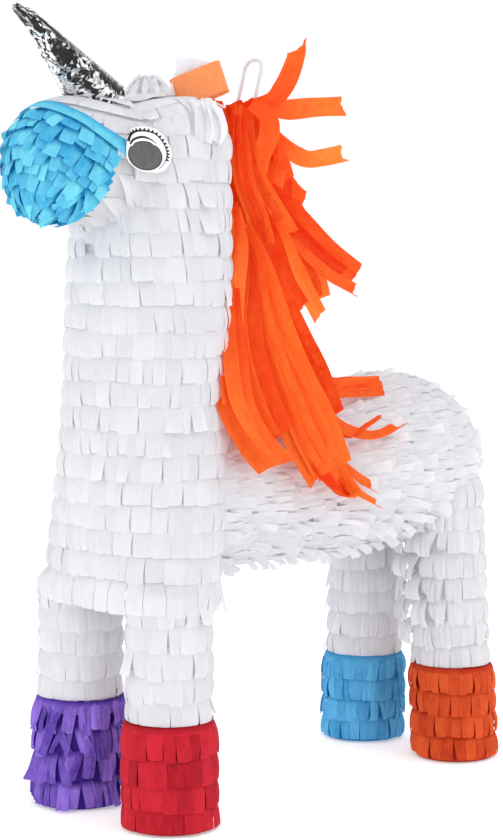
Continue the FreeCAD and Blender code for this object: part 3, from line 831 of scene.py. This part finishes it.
# ---------------------------------------------------------------- ribbons of mane and tail

def smooth_line(points, count):
    """Evenly numbered points on a smooth curve through control points."""
    points = np.asarray(points, float)
    ends = np.concatenate([[2 * points[0] - points[1]], points, [2 * points[-1] - points[-2]]])
    line = []
    for spot in np.linspace(0, len(points) - 1, count):
        k = min(int(spot), len(points) - 2)
        t = spot - k
        a, b, c, d = ends[k:k + 4]
        line.append(0.5 * (2 * b + (c - a) * t + (2 * a - 5 * b + 4 * c - d) * t ** 2
                           + (3 * b - a - 3 * c + d) * t ** 3))
    return np.array(line)


def ribbon(sheets, points, width, facing, roll, fold, ripple, root, slant):
    """A strip of tissue along a line. facing is the way its flat side looks; width in mm."""
    line = smooth_line(points, 22)
    length = np.linalg.norm(np.diff(line, axis=0), axis=1).sum()
    tangent = unit(np.gradient(line, axis=0))
    side = unit(np.cross(tangent, facing))
    out = np.cross(side, tangent)
    t = np.linspace(0, 1, 22)[:, None]
    u = np.linspace(-0.5, 0.5, 7)[None, :]
    angle = roll[0] + (roll[1] - roll[0]) * t
    broad = (side * np.cos(angle) + out * np.sin(angle))[:, None]
    flat = (out * np.cos(angle) - side * np.sin(angle))[:, None]
    spread = width * (root + (1 - root) * np.minimum(1, t * 3)) * MM
    phase = rng.uniform(0, TURN, 3)
    across = u * spread * (1 + 0.03 * np.sin(t * 9 + phase[0]))
    crease = fold * np.abs(u - 0.12) * spread * 2
    wavy = ripple * MM * (np.sin(u * 7 + t * 4 + phase[1])
                          + 0.6 * np.sin(u * 15 + t * 9 + phase[2]))
    lifted = crease + wavy * (0.3 + 0.7 * t)
    points = (line[:, None] + broad * across[..., None] + flat * lifted[..., None]
              + tangent[:, None] * (slant * across * t ** 3)[..., None])
    sheets.add(points, across, t * length)


# Each strip of the mane: width, fold, turn at its two ends, slant of its cut end, and its line
# from the top of its bunch.
UPPER_STRIPS = [
    (20, 0.3, (0.5, 0.1), 0.1,
     [(22, 18, -11), (24, 13, -31), (22, 21, -58), (16, 42, -81), (14, 61, -100)]),
    (22, 0.35, (-0.3, 0.3), 0.0,
     [(18, 30, -12), (22, 23, -37), (20, 30, -60), (14, 54, -86), (10, 77, -110)]),
    (18, 0.3, (0.9, 0.2), 0.0,
     [(26, 12, -17), (28, 10, -42), (26, 16, -67), (20, 35, -92), (16, 49, -117)]),
    (16, 0.1, (0.1, 0.5), -0.5,
     [(30, 23, -9), (34, 36, -19), (32, 40, -32), (30, 34, -46), (28, 31, -58)]),
    (15, 0.2, (-0.4, 0.7), 0.9,
     [(10, 38, -9), (12, 63, -4), (8, 84, 10), (4, 100, 30), (3, 104, 39)]),
    (16, 0.06, (0.0, 0.1), 0.1,
     [(6, 54, -11), (6, 86, -11), (4, 119, -8), (2, 155, -6)]),
    (14, 0.25, (-0.3, 0.2), 0.3,
     [(8, 66, -27), (6, 90, -42), (5, 109, -49), (4, 130, -48), (2, 154, -45)]),
    (14, 0.1, (0.3, 0.5), 0.6,
     [(6, 68, -53), (4, 85, -65), (3, 98, -75), (2, 110, -83)]),
    (15, 0.2, (0.9, 0.2), 0.3,
     [(24, 37, -42), (20, 54, -44), (14, 70, -52), (10, 80, -66)]),
    (14, 0.1, (0.7, 0.3), 0.0,
     [(6, 74, -31), (4, 82, -55), (4, 85, -73), (4, 85, -89)]),
    (24, 0.16, (0.2, -0.2), 0.5,
     [(12, 56, -73), (10, 74, -85), (8, 96, -101), (4, 131, -123), (0, 172, -143)]),
    (11, 0.3, (0.9, 0.7), 0.4,
     [(8, 64, -83), (6, 83, -97), (4, 102, -120), (2, 136, -143), (2, 169, -157)]),
    (22, 0.12, (-0.5, 0.2), 0.2,
     [(-4, 66, -77), (-6, 91, -97), (-8, 114, -125), (-8, 130, -145), (-8, 136, -163)]),
    (14, 0.22, (0.3, 0.4), 0.3,
     [(16, 38, -73), (14, 51, -86), (12, 70, -110), (10, 96, -144), (8, 121, -175)]),
    (15, 0.24, (-0.2, 0.5), 0.2,
     [(20, 30, -73), (18, 40, -86), (16, 59, -115), (14, 75, -144), (12, 96, -168)]),
    (5, 0.1, (0.3, 0.4), 0.5,
     [(12, 40, -85), (10, 45, -100), (8, 57, -139), (6, 66, -156), (6, 76, -169)]),
    (22, 0.14, (0.4, -0.1), 0.2,
     [(12, 32, -69), (10, 41, -86), (6, 49, -112), (0, 61, -134), (-6, 71, -149)]),
    (18, 0.3, (0.7, 0.3), 0.2,
     [(20, 26, -7), (12, 44, -23), (12, 54, -41), (16, 48, -61), (18, 40, -81)]),
    (20, 0.35, (-0.8, -0.3), 0.2,
     [(8, 30, -7), (2, 48, -27), (0, 60, -49), (2, 58, -73), (6, 54, -95)]),
    (16, 0.3, (0.2, 0.9), 0.2,
     [(14, 20, -7), (6, 40, -21), (4, 64, -33), (8, 70, -51), (10, 64, -73)]),
    (20, 0.25, (-0.3, 0.1), 0.2,
     [(-6, 20, -5), (-12, 36, -32), (-14, 52, -67), (-12, 64, -107), (-8, 76, -142)]),
    (22, 0.25, (-0.2, 0.2), 0.0,
     [(-10, 26, -12), (-16, 38, -47), (-18, 46, -87), (-16, 54, -127), (-14, 62, -162)]),
    (18, 0.25, (0.5, 0.2), 0.3,
     [(-2, 30, -9), (-6, 50, -37), (-8, 68, -67), (-8, 82, -97), (-10, 100, -127)]),
]
LOWER_STRIPS = [
    (24, 0.22, (0.9, 0.5), 0.0,
     [(22, 13, 62), (30, 8, 39), (42, -10, 3), (52, -23, -42), (66, -30, -87)]),
    (28, 0.18, (0.2, 0.0), -0.5,
     [(42, -11, 0), (54, -23, -42), (68, -30, -84), (80, -21, -114), (86, -5, -132)]),
    (30, 0.3, (0.6, 0.2), 0.2,
     [(24, 15, 38), (34, 11, 11), (44, -3, -20), (54, -7, -55), (66, -3, -89), (76, 5, -114)]),
    (26, 0.3, (-0.4, 0.1), 0.2,
     [(22, 19, 42), (30, 23, 21), (48, 13, -21), (64, 17, -67), (80, 27, -113), (88, 41, -144)]),
    (28, 0.24, (0.1, -0.2), 0.3,
     [(18, 25, 46), (28, 29, 20), (44, 31, -22), (60, 40, -64), (76, 51, -101), (86, 61, -140)]),
    (24, 0.28, (0.4, 0.2), 0.3,
     [(10, 29, 42), (18, 42, 15), (30, 55, -18), (42, 63, -47), (56, 67, -70), (70, 71, -103)]),
    (22, 0.35, (-0.6, 0.4), 0.2,
     [(16, 19, 32), (34, 23, -2), (50, 21, -42), (68, 29, -82), (82, 43, -122)]),
    (20, 0.2, (0.3, 1.2), 0.0,
     [(70, 33, -98), (84, 43, -133), (90, 59, -154), (88, 77, -158), (84, 67, -136)]),
    (17, 0.08, (0.2, 0.1), 0.1,
     [(26, 63, -52), (36, 77, -64), (42, 99, -80), (42, 127, -82), (40, 165, -83)]),
    (12, 0.16, (0.1, 1.1), 0.9,
     [(40, 55, -72), (56, 66, -89), (70, 80, -108), (75, 104, -117), (75, 126, -118),
      (72, 151, -113)]),
    (4, 0.1, (0.2, 0.4), 0.5,
     [(64, 79, -113), (73, 92, -117), (75, 110, -109), (73, 127, -103)]),
    (9, 0.16, (0.4, 0.7), 0.9,
     [(66, 43, -92), (76, 55, -111), (80, 71, -133), (80, 92, -149), (78, 112, -159)]),
    (9, 0.1, (0.2, 0.9), 0.8,
     [(80, 67, -136), (84, 77, -148), (82, 93, -161), (80, 117, -173)]),
    (7, 0.1, (0.2, 0.9), 0.8,
     [(26, 65, -52), (32, 75, -61), (32, 86, -69), (30, 105, -70)]),
]
THIN = 17


def build_mane(name, cad_node, strips, facing):
    """A bunch of strips that hangs from the top of its CAD solid, the broad ones doubled."""
    low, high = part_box(cad_node)
    anchor = np.array([0, low.y, high.z])
    sheets = Sheets()
    for width, fold, roll, slant, line in strips:
        places = anchor + np.array(line) * MM
        ribbon(sheets, places, width, facing, roll, fold, 1.1, 0.6, slant)
        if width < THIN:
            continue
        spread = np.linspace(0.3, 1.0, len(line))[:, None]
        beside = places + rng.normal(0, 3.2, 3) * MM * spread + np.array(facing) * 0.0022
        beside[-1] = beside[-1] * 0.75 + beside[-2] * 0.25
        ribbon(sheets, beside, width * rng.uniform(0.35, 0.6), facing,
               (roll[0] + rng.normal(0, 0.5), roll[1] + rng.normal(0, 0.4)), fold + 0.1, 1.1, 0.7,
               rng.normal(0, 0.5))
    sheets.build(name, ORANGE, "pinata", [cad_node])


build_mane("mane_top_strips", "mane_upper", UPPER_STRIPS, (0.72, -0.69, 0.05))
build_mane("mane_low_strips", "mane_lower", LOWER_STRIPS, (0.8, -0.55, 0.25))

TAIL_STRIPS = 13
tail_sheets = Sheets()
for number in range(TAIL_STRIPS):
    turn = number / TAIL_STRIPS * TURN
    x, y = math.cos(turn), math.sin(turn)
    end = rng.uniform(140, 185)
    line = np.array(((4 * x, 208 + 3 * y, 292), (8 * x, 222 + 6 * y, 276),
                     (11 * x, 230 + 6 * y, 238), (9 * x + rng.normal(0, 3), 230 + 6 * y, 200),
                     (6 * x + rng.normal(0, 4), 228 + 6 * y, end))) * MM
    ribbon(tail_sheets, line, rng.uniform(14, 20), (x, y, 0.1), (0.0, rng.normal(0, 0.4)), 0.15,
           0.6, 0.5, rng.normal(0, 0.3))
tail_sheets.build("tail_strips", ORANGE, "pinata", ["tail"])


# ---------------------------------------------------------------- horn

HORN_RINGS, HORN_SIDES, HORN_SPLIT = 12, 7, 5
HORN_ROOT = Vector((0, -0.164, 0.533))
HORN_LEAN = math.radians(46)
HORN_RUN = 0.112
HORN_SINK = 0.020
HORN_SHARES = (0, 0.36, 0.58, 0.82, 0.93, 1)
HORN_RADII = (21.5, 17.0, 13.6, 8.6, 5.8, 1.2)
HORN_TWIST = 0.9
HORN_CURL = Vector((0, -0.012, 0.003))
CURL_FROM = 0.82
CURL_SPAN = 0.18
GLINT_SEED = Vector((4, 7, 1))
FOIL_GAP = 1.4 * MM
horn_axis = Vector((0, -math.sin(HORN_LEAN), math.cos(HORN_LEAN)))
horn_back = SIDE.cross(horn_axis)
core_tree = surface_tree(nodes["horn_core"].data)


def core_reach(middle, out):
    """How far the horn's paper cone reaches from a point of the axis."""
    hit, _, _, far = core_tree.ray_cast(middle + out * 0.1, -out)
    return 0.1 - far if hit is not None else 0.0


def horn_corner(ring, number):
    """A corner of the large facets that the foil is crumpled into."""
    t = ring / (HORN_RINGS - 1)
    shake = noise.noise_vector(Vector((ring * 1.71, number % HORN_SIDES * 2.37, 8.3)))
    turn = (number + 0.5 * (ring % 2) + shake.x * 0.7) / HORN_SIDES * TURN + t * HORN_TWIST
    reach = float(np.interp(t, HORN_SHARES, HORN_RADII)) * MM * (1 + 0.30 * shake.y)
    along = HORN_RUN * (t + 0.035 * shake.z) - HORN_SINK
    curl = max(0.0, t - CURL_FROM) / CURL_SPAN
    out = SIDE * math.cos(turn) + horn_back * math.sin(turn)
    middle = HORN_ROOT + horn_axis * along
    reach = max(reach, core_reach(middle, out) + FOIL_GAP)
    return middle + out * reach + HORN_CURL * curl ** 2


def clear_of_core(spot):
    """The same spot, or the one outside it that clears the paper cone."""
    along = (spot - HORN_ROOT).dot(horn_axis)
    middle = HORN_ROOT + horn_axis * along
    out = (spot - middle).normalized()
    needed = core_reach(middle, out) + FOIL_GAP
    if (spot - middle).length < needed:
        return middle + out * needed
    return spot


horn_points, horn_faces, horn_glints = [], [], []


def horn_facet(corners):
    """One large facet, finely crinkled; each small face gets a painted reflection as bright as its
    slope makes it.
    """
    spots = {}
    for i in range(HORN_SPLIT + 1):
        for j in range(HORN_SPLIT + 1 - i):
            rest = HORN_SPLIT - i - j
            spot = (corners[0] * rest + corners[1] * i + corners[2] * j) / HORN_SPLIT
            spots[i, j] = clear_of_core(spot + noise.noise_vector(spot * 300) * 0.0007)
    for i, j in list(spots):
        for ring in (((i, j), (i + 1, j), (i, j + 1)), ((i + 1, j), (i + 1, j + 1), (i, j + 1))):
            if not all(place in spots for place in ring):
                continue
            points = [spots[place] for place in ring]
            slope = (points[1] - points[0]).cross(points[2] - points[0]).normalized()
            # Painted reflection: the face's glint comes from noise over its slope.
            glint = 0.40 + 1.25 * noise.noise(slope * 4.2 + GLINT_SEED)
            first = len(horn_points)
            horn_points.extend(points)
            horn_faces.append((first, first + 1, first + 2))
            horn_glints.extend([min(max(glint, 0.0), 1.0)] * 3)


horn_rings = [[horn_corner(ring, number) for number in range(HORN_SIDES + 1)]
              for ring in range(HORN_RINGS)]
for ring in range(HORN_RINGS - 1):
    for number in range(HORN_SIDES):
        near = horn_rings[ring][number:number + 2]
        far = horn_rings[ring + 1][number:number + 2]
        odd = ring % 2
        horn_facet((near[0], near[1], far[odd]))
        horn_facet((near[1 - odd], far[1], far[0]))
top_ring = horn_rings[-1]
horn_tip = sum(top_ring[:-1], Vector()) / HORN_SIDES
for number in range(HORN_SIDES):
    horn_facet((top_ring[number], top_ring[number + 1], horn_tip))
horn_mesh = bpy.data.meshes.new("horn_wrap")
horn_mesh.from_pydata([list(p) for p in horn_points], [], horn_faces)
horn_mesh.attributes.new("glint", "FLOAT", "POINT").data.foreach_set("value", horn_glints)
horn_mesh.materials.append(FOIL)
finish_piece("horn_wrap", horn_mesh, "pinata", ["horn_foil"])


# ---------------------------------------------------------------- eyes

def card_axes(name):
    """Centre, front-to-back direction, outward direction and half sizes of an eye card."""
    points = np.array([list(v.co) for v in nodes[name].data.vertices])
    centre = (points.min(0) + points.max(0)) / 2
    _, _, axes = np.linalg.svd(points - centre, full_matrices=False)
    outward = axes[2] * np.sign(axes[2] @ [centre[0], 0, 0])
    back = axes[0] * np.sign(axes[0][1])
    half = np.abs((points - centre) @ np.stack([back, [0, 0, 1], outward]).T).max(0)
    return centre, back, outward, half


def ellipse_arc(centre, radii, start, end, count=40):
    """Points on an ellipse between two angles in degrees."""
    angles = np.radians(np.linspace(start, end, count))
    return [(centre[0] + radii[0] * math.cos(a), centre[1] + radii[1] * math.sin(a))
            for a in angles]


def stroke(line, start_width, mid_width, end_width):
    """The outline of a brush stroke that follows a line."""
    line = np.array(line)
    along = unit(np.gradient(line, axis=0))
    side = np.stack([-along[:, 1], along[:, 0]], 1)
    t = np.linspace(0, 1, len(line))
    width = np.interp(t, [0, 0.5, 1], [start_width, mid_width, end_width])[:, None] / 2
    return np.concatenate([line + side * width, (line - side * width)[::-1]]).tolist()


# The eye's drawing, in half widths and half heights of its card.
PUPIL = ((-0.27, -0.28), (0.70, 0.62))
LID = [(-0.97, 0.27), (-0.93, 0.44), (-0.83, 0.62), (-0.59, 0.77), (-0.22, 0.81), (0.14, 0.73),
       (0.43, 0.47), (0.60, 0.14), (0.64, -0.16), (0.57, -0.43), (0.44, -0.65), (0.29, -0.79)]
BROW = [(-0.90, 0.15), (-0.74, 0.39), (-0.40, 0.53), (-0.08, 0.48), (0.20, 0.31)]
GLEAM = [(-0.85, 0.10), (-0.68, 0.31), (-0.36, 0.42), (-0.08, 0.38), (0.14, 0.23)]
OUTLINE = [(-1.02, 0.30), (-0.92, 0.72), (-0.62, 0.94), (-0.20, 1.0), (0.23, 0.91), (0.57, 0.60),
           (0.79, 0.21), (0.84, -0.17), (0.75, -0.51), (0.57, -0.79), (0.32, -0.94), (0.0, -0.98),
           (-0.38, -0.97), (-0.76, -0.81), (-1.0, -0.52), (-1.05, -0.14), (-1.02, 0.30)]
LASHES = 17
FIRST_LASH, LAST_LASH = 14, 78


lid_line = smooth_line(LID, 100)
lid_heading = unit(np.gradient(lid_line, axis=0))
lash_shapes = []
for number in range(LASHES):
    place = FIRST_LASH + (LAST_LASH - FIRST_LASH) * number // (LASHES - 1)
    base, along = lid_line[place], lid_heading[place]
    out = np.array([-along[1], along[0]])
    lash_shapes.append([tuple(base - along * 0.065), tuple(base + along * 0.065),
                        tuple(base + along * 0.03 + out * 0.12),
                        tuple(base - along * 0.01 + out * 0.13)])
# Paint, its lower and upper height over the card's face in millimetres, and its shapes.
eye_prints = [(CARD, -0.6, 0.0, [smooth_line(OUTLINE, 97)[:-1].tolist()]),
              (GREY, 0.0, 0.08, [ellipse_arc(*PUPIL, 0, 354, 60)]),
              (BLACK, 0.0, 0.14, [stroke(ellipse_arc(*PUPIL, 40, 400, 80), 0.04, 0.04, 0.04),
                                  stroke(smooth_line(BROW, 50), 0.08, 0.10, 0.02),
                                  stroke(lid_line, 0.12, 0.05, 0.02), *lash_shapes]),
              (CARD, 0.1, 0.18, [stroke(smooth_line(GLEAM, 50), 0.08, 0.07, 0.05)])]


def print_eye(side_name):
    """The drawing of one eye: each shape is a thin prism on the card's face."""
    centre, back, outward, half = card_axes(f"eye_card_{side_name}")
    verts, faces, paints = [], [], []
    materials = [GREY, BLACK, CARD]
    for paint, bottom, top, shapes in eye_prints:
        for shape in shapes:
            start, count = len(verts), len(shape)
            ring = [centre + back * half[0] * a * 0.97 + np.array([0, 0, half[1] * b * 0.97])
                    for a, b in shape]
            for height in (bottom, top):
                verts += [list(p + outward * (half[2] + height * MM)) for p in ring]
            faces.append([start + count + i for i in range(count)])
            for i in range(count):
                j = (i + 1) % count
                faces.append([start + i, start + j, start + count + j, start + count + i])
            paints += [materials.index(paint)] * (count + 1)
    mesh = bpy.data.meshes.new(f"eye_print_{side_name}")
    mesh.from_pydata(verts, [], faces)
    for material in materials:
        mesh.materials.append(material)
    mesh.polygons.foreach_set("material_index", paints)
    finish_piece(f"eye_print_{side_name}", mesh, "pinata",
                 [f"eye_card_{side_name}"])


print_eye("left")
print_eye("right")


# ---------------------------------------------------------------- ears

def hanging_tabs(sheets, centre, tiers, count, tilt):
    """Tabs hanging round tilted ovals. Each tier is a level, two radii and a length."""
    for level, wide, deep, length in tiers:
        for number in range(count):
            turn = (number + rng.uniform(-0.3, 0.3)) / count * TURN
            out = Vector((math.cos(turn), math.sin(turn), 0))
            base = Vector((centre.x + wide * MM * out.x, centre.y + deep * MM * out.y,
                           (level + tilt * wide * out.x) * MM))
            fall = rng.uniform(0.85, 1.15) * length * MM
            line = [base, base + out * 0.004 - UP * fall * 0.35,
                    base + out * 0.006 - UP * fall * 0.7, base + out * 0.0035 - UP * fall]
            ribbon(sheets, line, rng.uniform(8, 14), out, (0.0, rng.normal(0, 0.2)), 0.15, 0.8,
                   0.9, rng.normal(0, 0.2))


# The left ear is a folded tip in an orange band, standing in a ruff. The right one is a tuft.
EAR_ACROSS = Vector((0.87, 0.49, 0)).normalized()
EAR_OUT = Vector((0.49, -0.87, 0)).normalized()
EAR_MIDDLE = Vector((33.0, -93.3, 549.0)) * MM
BAND_TILT = math.radians(21)
BAND_REACH = (0.0200, 0.0085)
BAND_WIDTH = 0.0235
LEFT_TIERS = ((531, 15, 8, 20), (526, 20, 12, 24), (520, 23, 15, 22))
RIGHT_TIERS = ((559, 4, 3, 11), (556, 9, 7, 13), (550, 14, 10, 14), (543, 18, 13, 15),
               (535, 21, 15, 16), (527, 22, 16, 16))


def ear_spot(across, out, level):
    """A point of the left ear, in millimetres across it, out of its flat and above the floor."""
    spot = EAR_MIDDLE + (EAR_ACROSS * across + EAR_OUT * out) * MM
    return spot.x, spot.y, level * MM


left_tissue = Sheets()
for shift, turned in ((0, 0.0), (2.5, 0.2), (-3.5, -0.25)):
    ribbon(left_tissue, [ear_spot(-11 + shift, -shift, 541), ear_spot(-7 + shift, -shift, 554),
                         ear_spot(-2.7 + shift, -shift * 1.4, 568)], 17, EAR_OUT,
           (turned, turned * 0.4), 0.12, 0.6, 1.0, 0.05)
left_middle = EAR_MIDDLE + Vector((0.002, -0.012, 0))
hanging_tabs(left_tissue, left_middle, LEFT_TIERS, 16, 0.5)
left_tissue.build("ear_tissue_left", WHITE, "pinata", ["ear_left"])

ear_low, ear_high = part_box("ear_right")
right_tissue = Sheets()
hanging_tabs(right_tissue, (ear_low + ear_high) / 2, RIGHT_TIERS, 11, 0.0)
right_tissue.build("ear_tissue_right", WHITE, "pinata", ["ear_right"])


def rounded(value, power):
    """A sine or cosine squared off towards a box's."""
    return np.sign(value) * np.abs(value) ** power


band = Sheets()
turns = np.linspace(0, TURN, 97)[None, :]
t = np.linspace(-0.5, 0.5, 6)[:, None]
band_axis = UP * math.cos(BAND_TILT) - EAR_ACROSS * math.sin(BAND_TILT)
band_along = EAR_ACROSS * math.cos(BAND_TILT) + UP * math.sin(BAND_TILT)
reach = rounded(np.cos(turns), 0.55) * BAND_REACH[0] * (1 + 0.05 * t)
depth = rounded(np.sin(turns), 0.75) * BAND_REACH[1] * (1 - 0.1 * t)
bow = 0.0008 * np.sin(turns * 3 + 1)
points = (np.array(EAR_MIDDLE) + reach[..., None] * np.array(band_along)
          + (depth + bow)[..., None] * np.array(EAR_OUT)
          + (t * BAND_WIDTH)[..., None] * np.array(band_axis))
band.add(points, turns * 0.02, BAND_WIDTH * (t + 0.5))
band.build("ear_ribbon_left", BAND, "pinata", ["ear_band_left"])


# ---------------------------------------------------------------- hanging loop

# The points of the loop's route, in millimetres.
LOOP = [(-9.4, -62, 490), (-9.4, -36, 508), (-9.4, -16, 533), (-9.4, -8, 555), (-9.4, -3, 574),
        (9.4, -3, 574), (9.4, -8, 555), (9.4, -16, 533), (9.4, -36, 508), (9.4, -62, 490)]
CORD_DIAMETER = 2.8 * MM
loop_curve = bpy.data.curves.new("hanger_cord", "CURVE")
loop_curve.dimensions = "3D"
loop_curve.bevel_depth = CORD_DIAMETER / 2
loop_curve.bevel_resolution = 4
loop_curve.resolution_u = 14
loop_curve.use_fill_caps = True
spline = loop_curve.splines.new("NURBS")
spline.points.add(len(LOOP) - 1)
for control, place in zip(spline.points, LOOP):
    control.co = (*(value * MM for value in place), 1)
spline.order_u = 3
spline.use_endpoint_u = True
loop_curve.materials.append(CORD)
hanger = finish_piece("hanger_cord", loop_curve, "pinata", ["hanging_loop"])


# ---------------------------------------------------------------- board of the CAD nodes

BOARDS = ["neck_tube", "crown_cap", "barrel_back", "barrel_belly", "rump_cap", "nose_cup",
          "chest_floor", "horn_core", "hanger_patch", "fill_flap"]
BOARDS += [f"leg_tube_{leg}" for leg in HOOVES] + [f"hoof_disc_{leg}" for leg in HOOVES]
for name in BOARDS:
    nodes[name].data.materials.clear()
    nodes[name].data.materials.append(BOARD)


# ---------------------------------------------------------------- floor, light and camera

FLOOR_SIDES, FLOOR_REACH, FLOOR_LEVEL = 64, 6, -0.0002
FLOOR_GLOW = 0.34
floor_rim = [(FLOOR_REACH * math.cos(i / FLOOR_SIDES * TURN),
              FLOOR_REACH * math.sin(i / FLOOR_SIDES * TURN), FLOOR_LEVEL)
             for i in range(FLOOR_SIDES)]
floor_mesh = bpy.data.meshes.new("floor")
floor_mesh.from_pydata(floor_rim, [], [list(range(FLOOR_SIDES))])
floor_paint = new_paint("floor_paint")
floor_grain = floor_paint.node("TexNoise", {"Scale": 3.0, "Detail": 2}).outputs["Fac"]
floor_colour = floor_paint.ramp(floor_grain, (0.3, (0.93, 0.93, 0.93)), (0.7, (0.95, 0.95, 0.95)))
matt = floor_paint.node("BsdfPrincipled", {"Base Color": floor_colour, "Roughness": 0.9,
                                           "Emission Color": (1, 1, 1, 1),
                                           "Emission Strength": FLOOR_GLOW})
floor_mesh.materials.append(floor_paint.finish("Material", matt))
new_object("floor", floor_mesh)

AMBIENT = 1.06
sky = Nodes(bpy.data.worlds.new("studio"))
backdrop = sky.node("Background", {"Color": (1.0, 1.0, 1.0, 1), "Strength": 1.0})
ambient = sky.node("Background", {"Color": (0.99, 0.995, 1.0, 1), "Strength": AMBIENT})
seen = sky.node("LightPath").outputs["Is Camera Ray"]
pick = sky.node("MixShader", {0: seen, 1: ambient.outputs[0], 2: backdrop.outputs[0]})
bpy.context.scene.world = sky.finish("World", pick)


def aim(name, data, place, back):
    """An object at a place, looking away from its back."""
    made = new_object(name, data)
    made.location = place
    made.rotation_euler = (-back).to_track_quat("-Z", "Y").to_euler()
    return made


def soft_light(name, place, target, size, power):
    """A square soft box."""
    light = bpy.data.lights.new(name, "AREA")
    light.size = size
    light.energy = power
    aim(name, light, place, Vector(place) - Vector(target))


soft_light("key", (-0.6, -2.4, 2.2), (0, 0, 0.3), 1.2, 5)
soft_light("top", (1.6, 0.4, 2.6), (0, 0, 0.3), 1.2, 8)
soft_light("front", (-0.2, -2.4, 0.5), (0, 0, 0.15), 0.9, 2.5)

CAMERA_AZIMUTH = math.radians(45.4)
CAMERA_RISE = math.radians(5.05)
CAMERA_TARGET = Vector((0.0687, -0.0744, 0.300))
CAMERA_DISTANCE = 1.7
back = Vector((math.sin(CAMERA_AZIMUTH) * math.cos(CAMERA_RISE),
               -math.cos(CAMERA_AZIMUTH) * math.cos(CAMERA_RISE), math.sin(CAMERA_RISE)))
camera_data = bpy.data.cameras.new("camera")
camera_data.lens = 97.2
place = CAMERA_TARGET + back * CAMERA_DISTANCE
bpy.context.scene.camera = aim("camera", camera_data, place, back)
bpy.context.scene.view_settings.view_transform = "Standard"
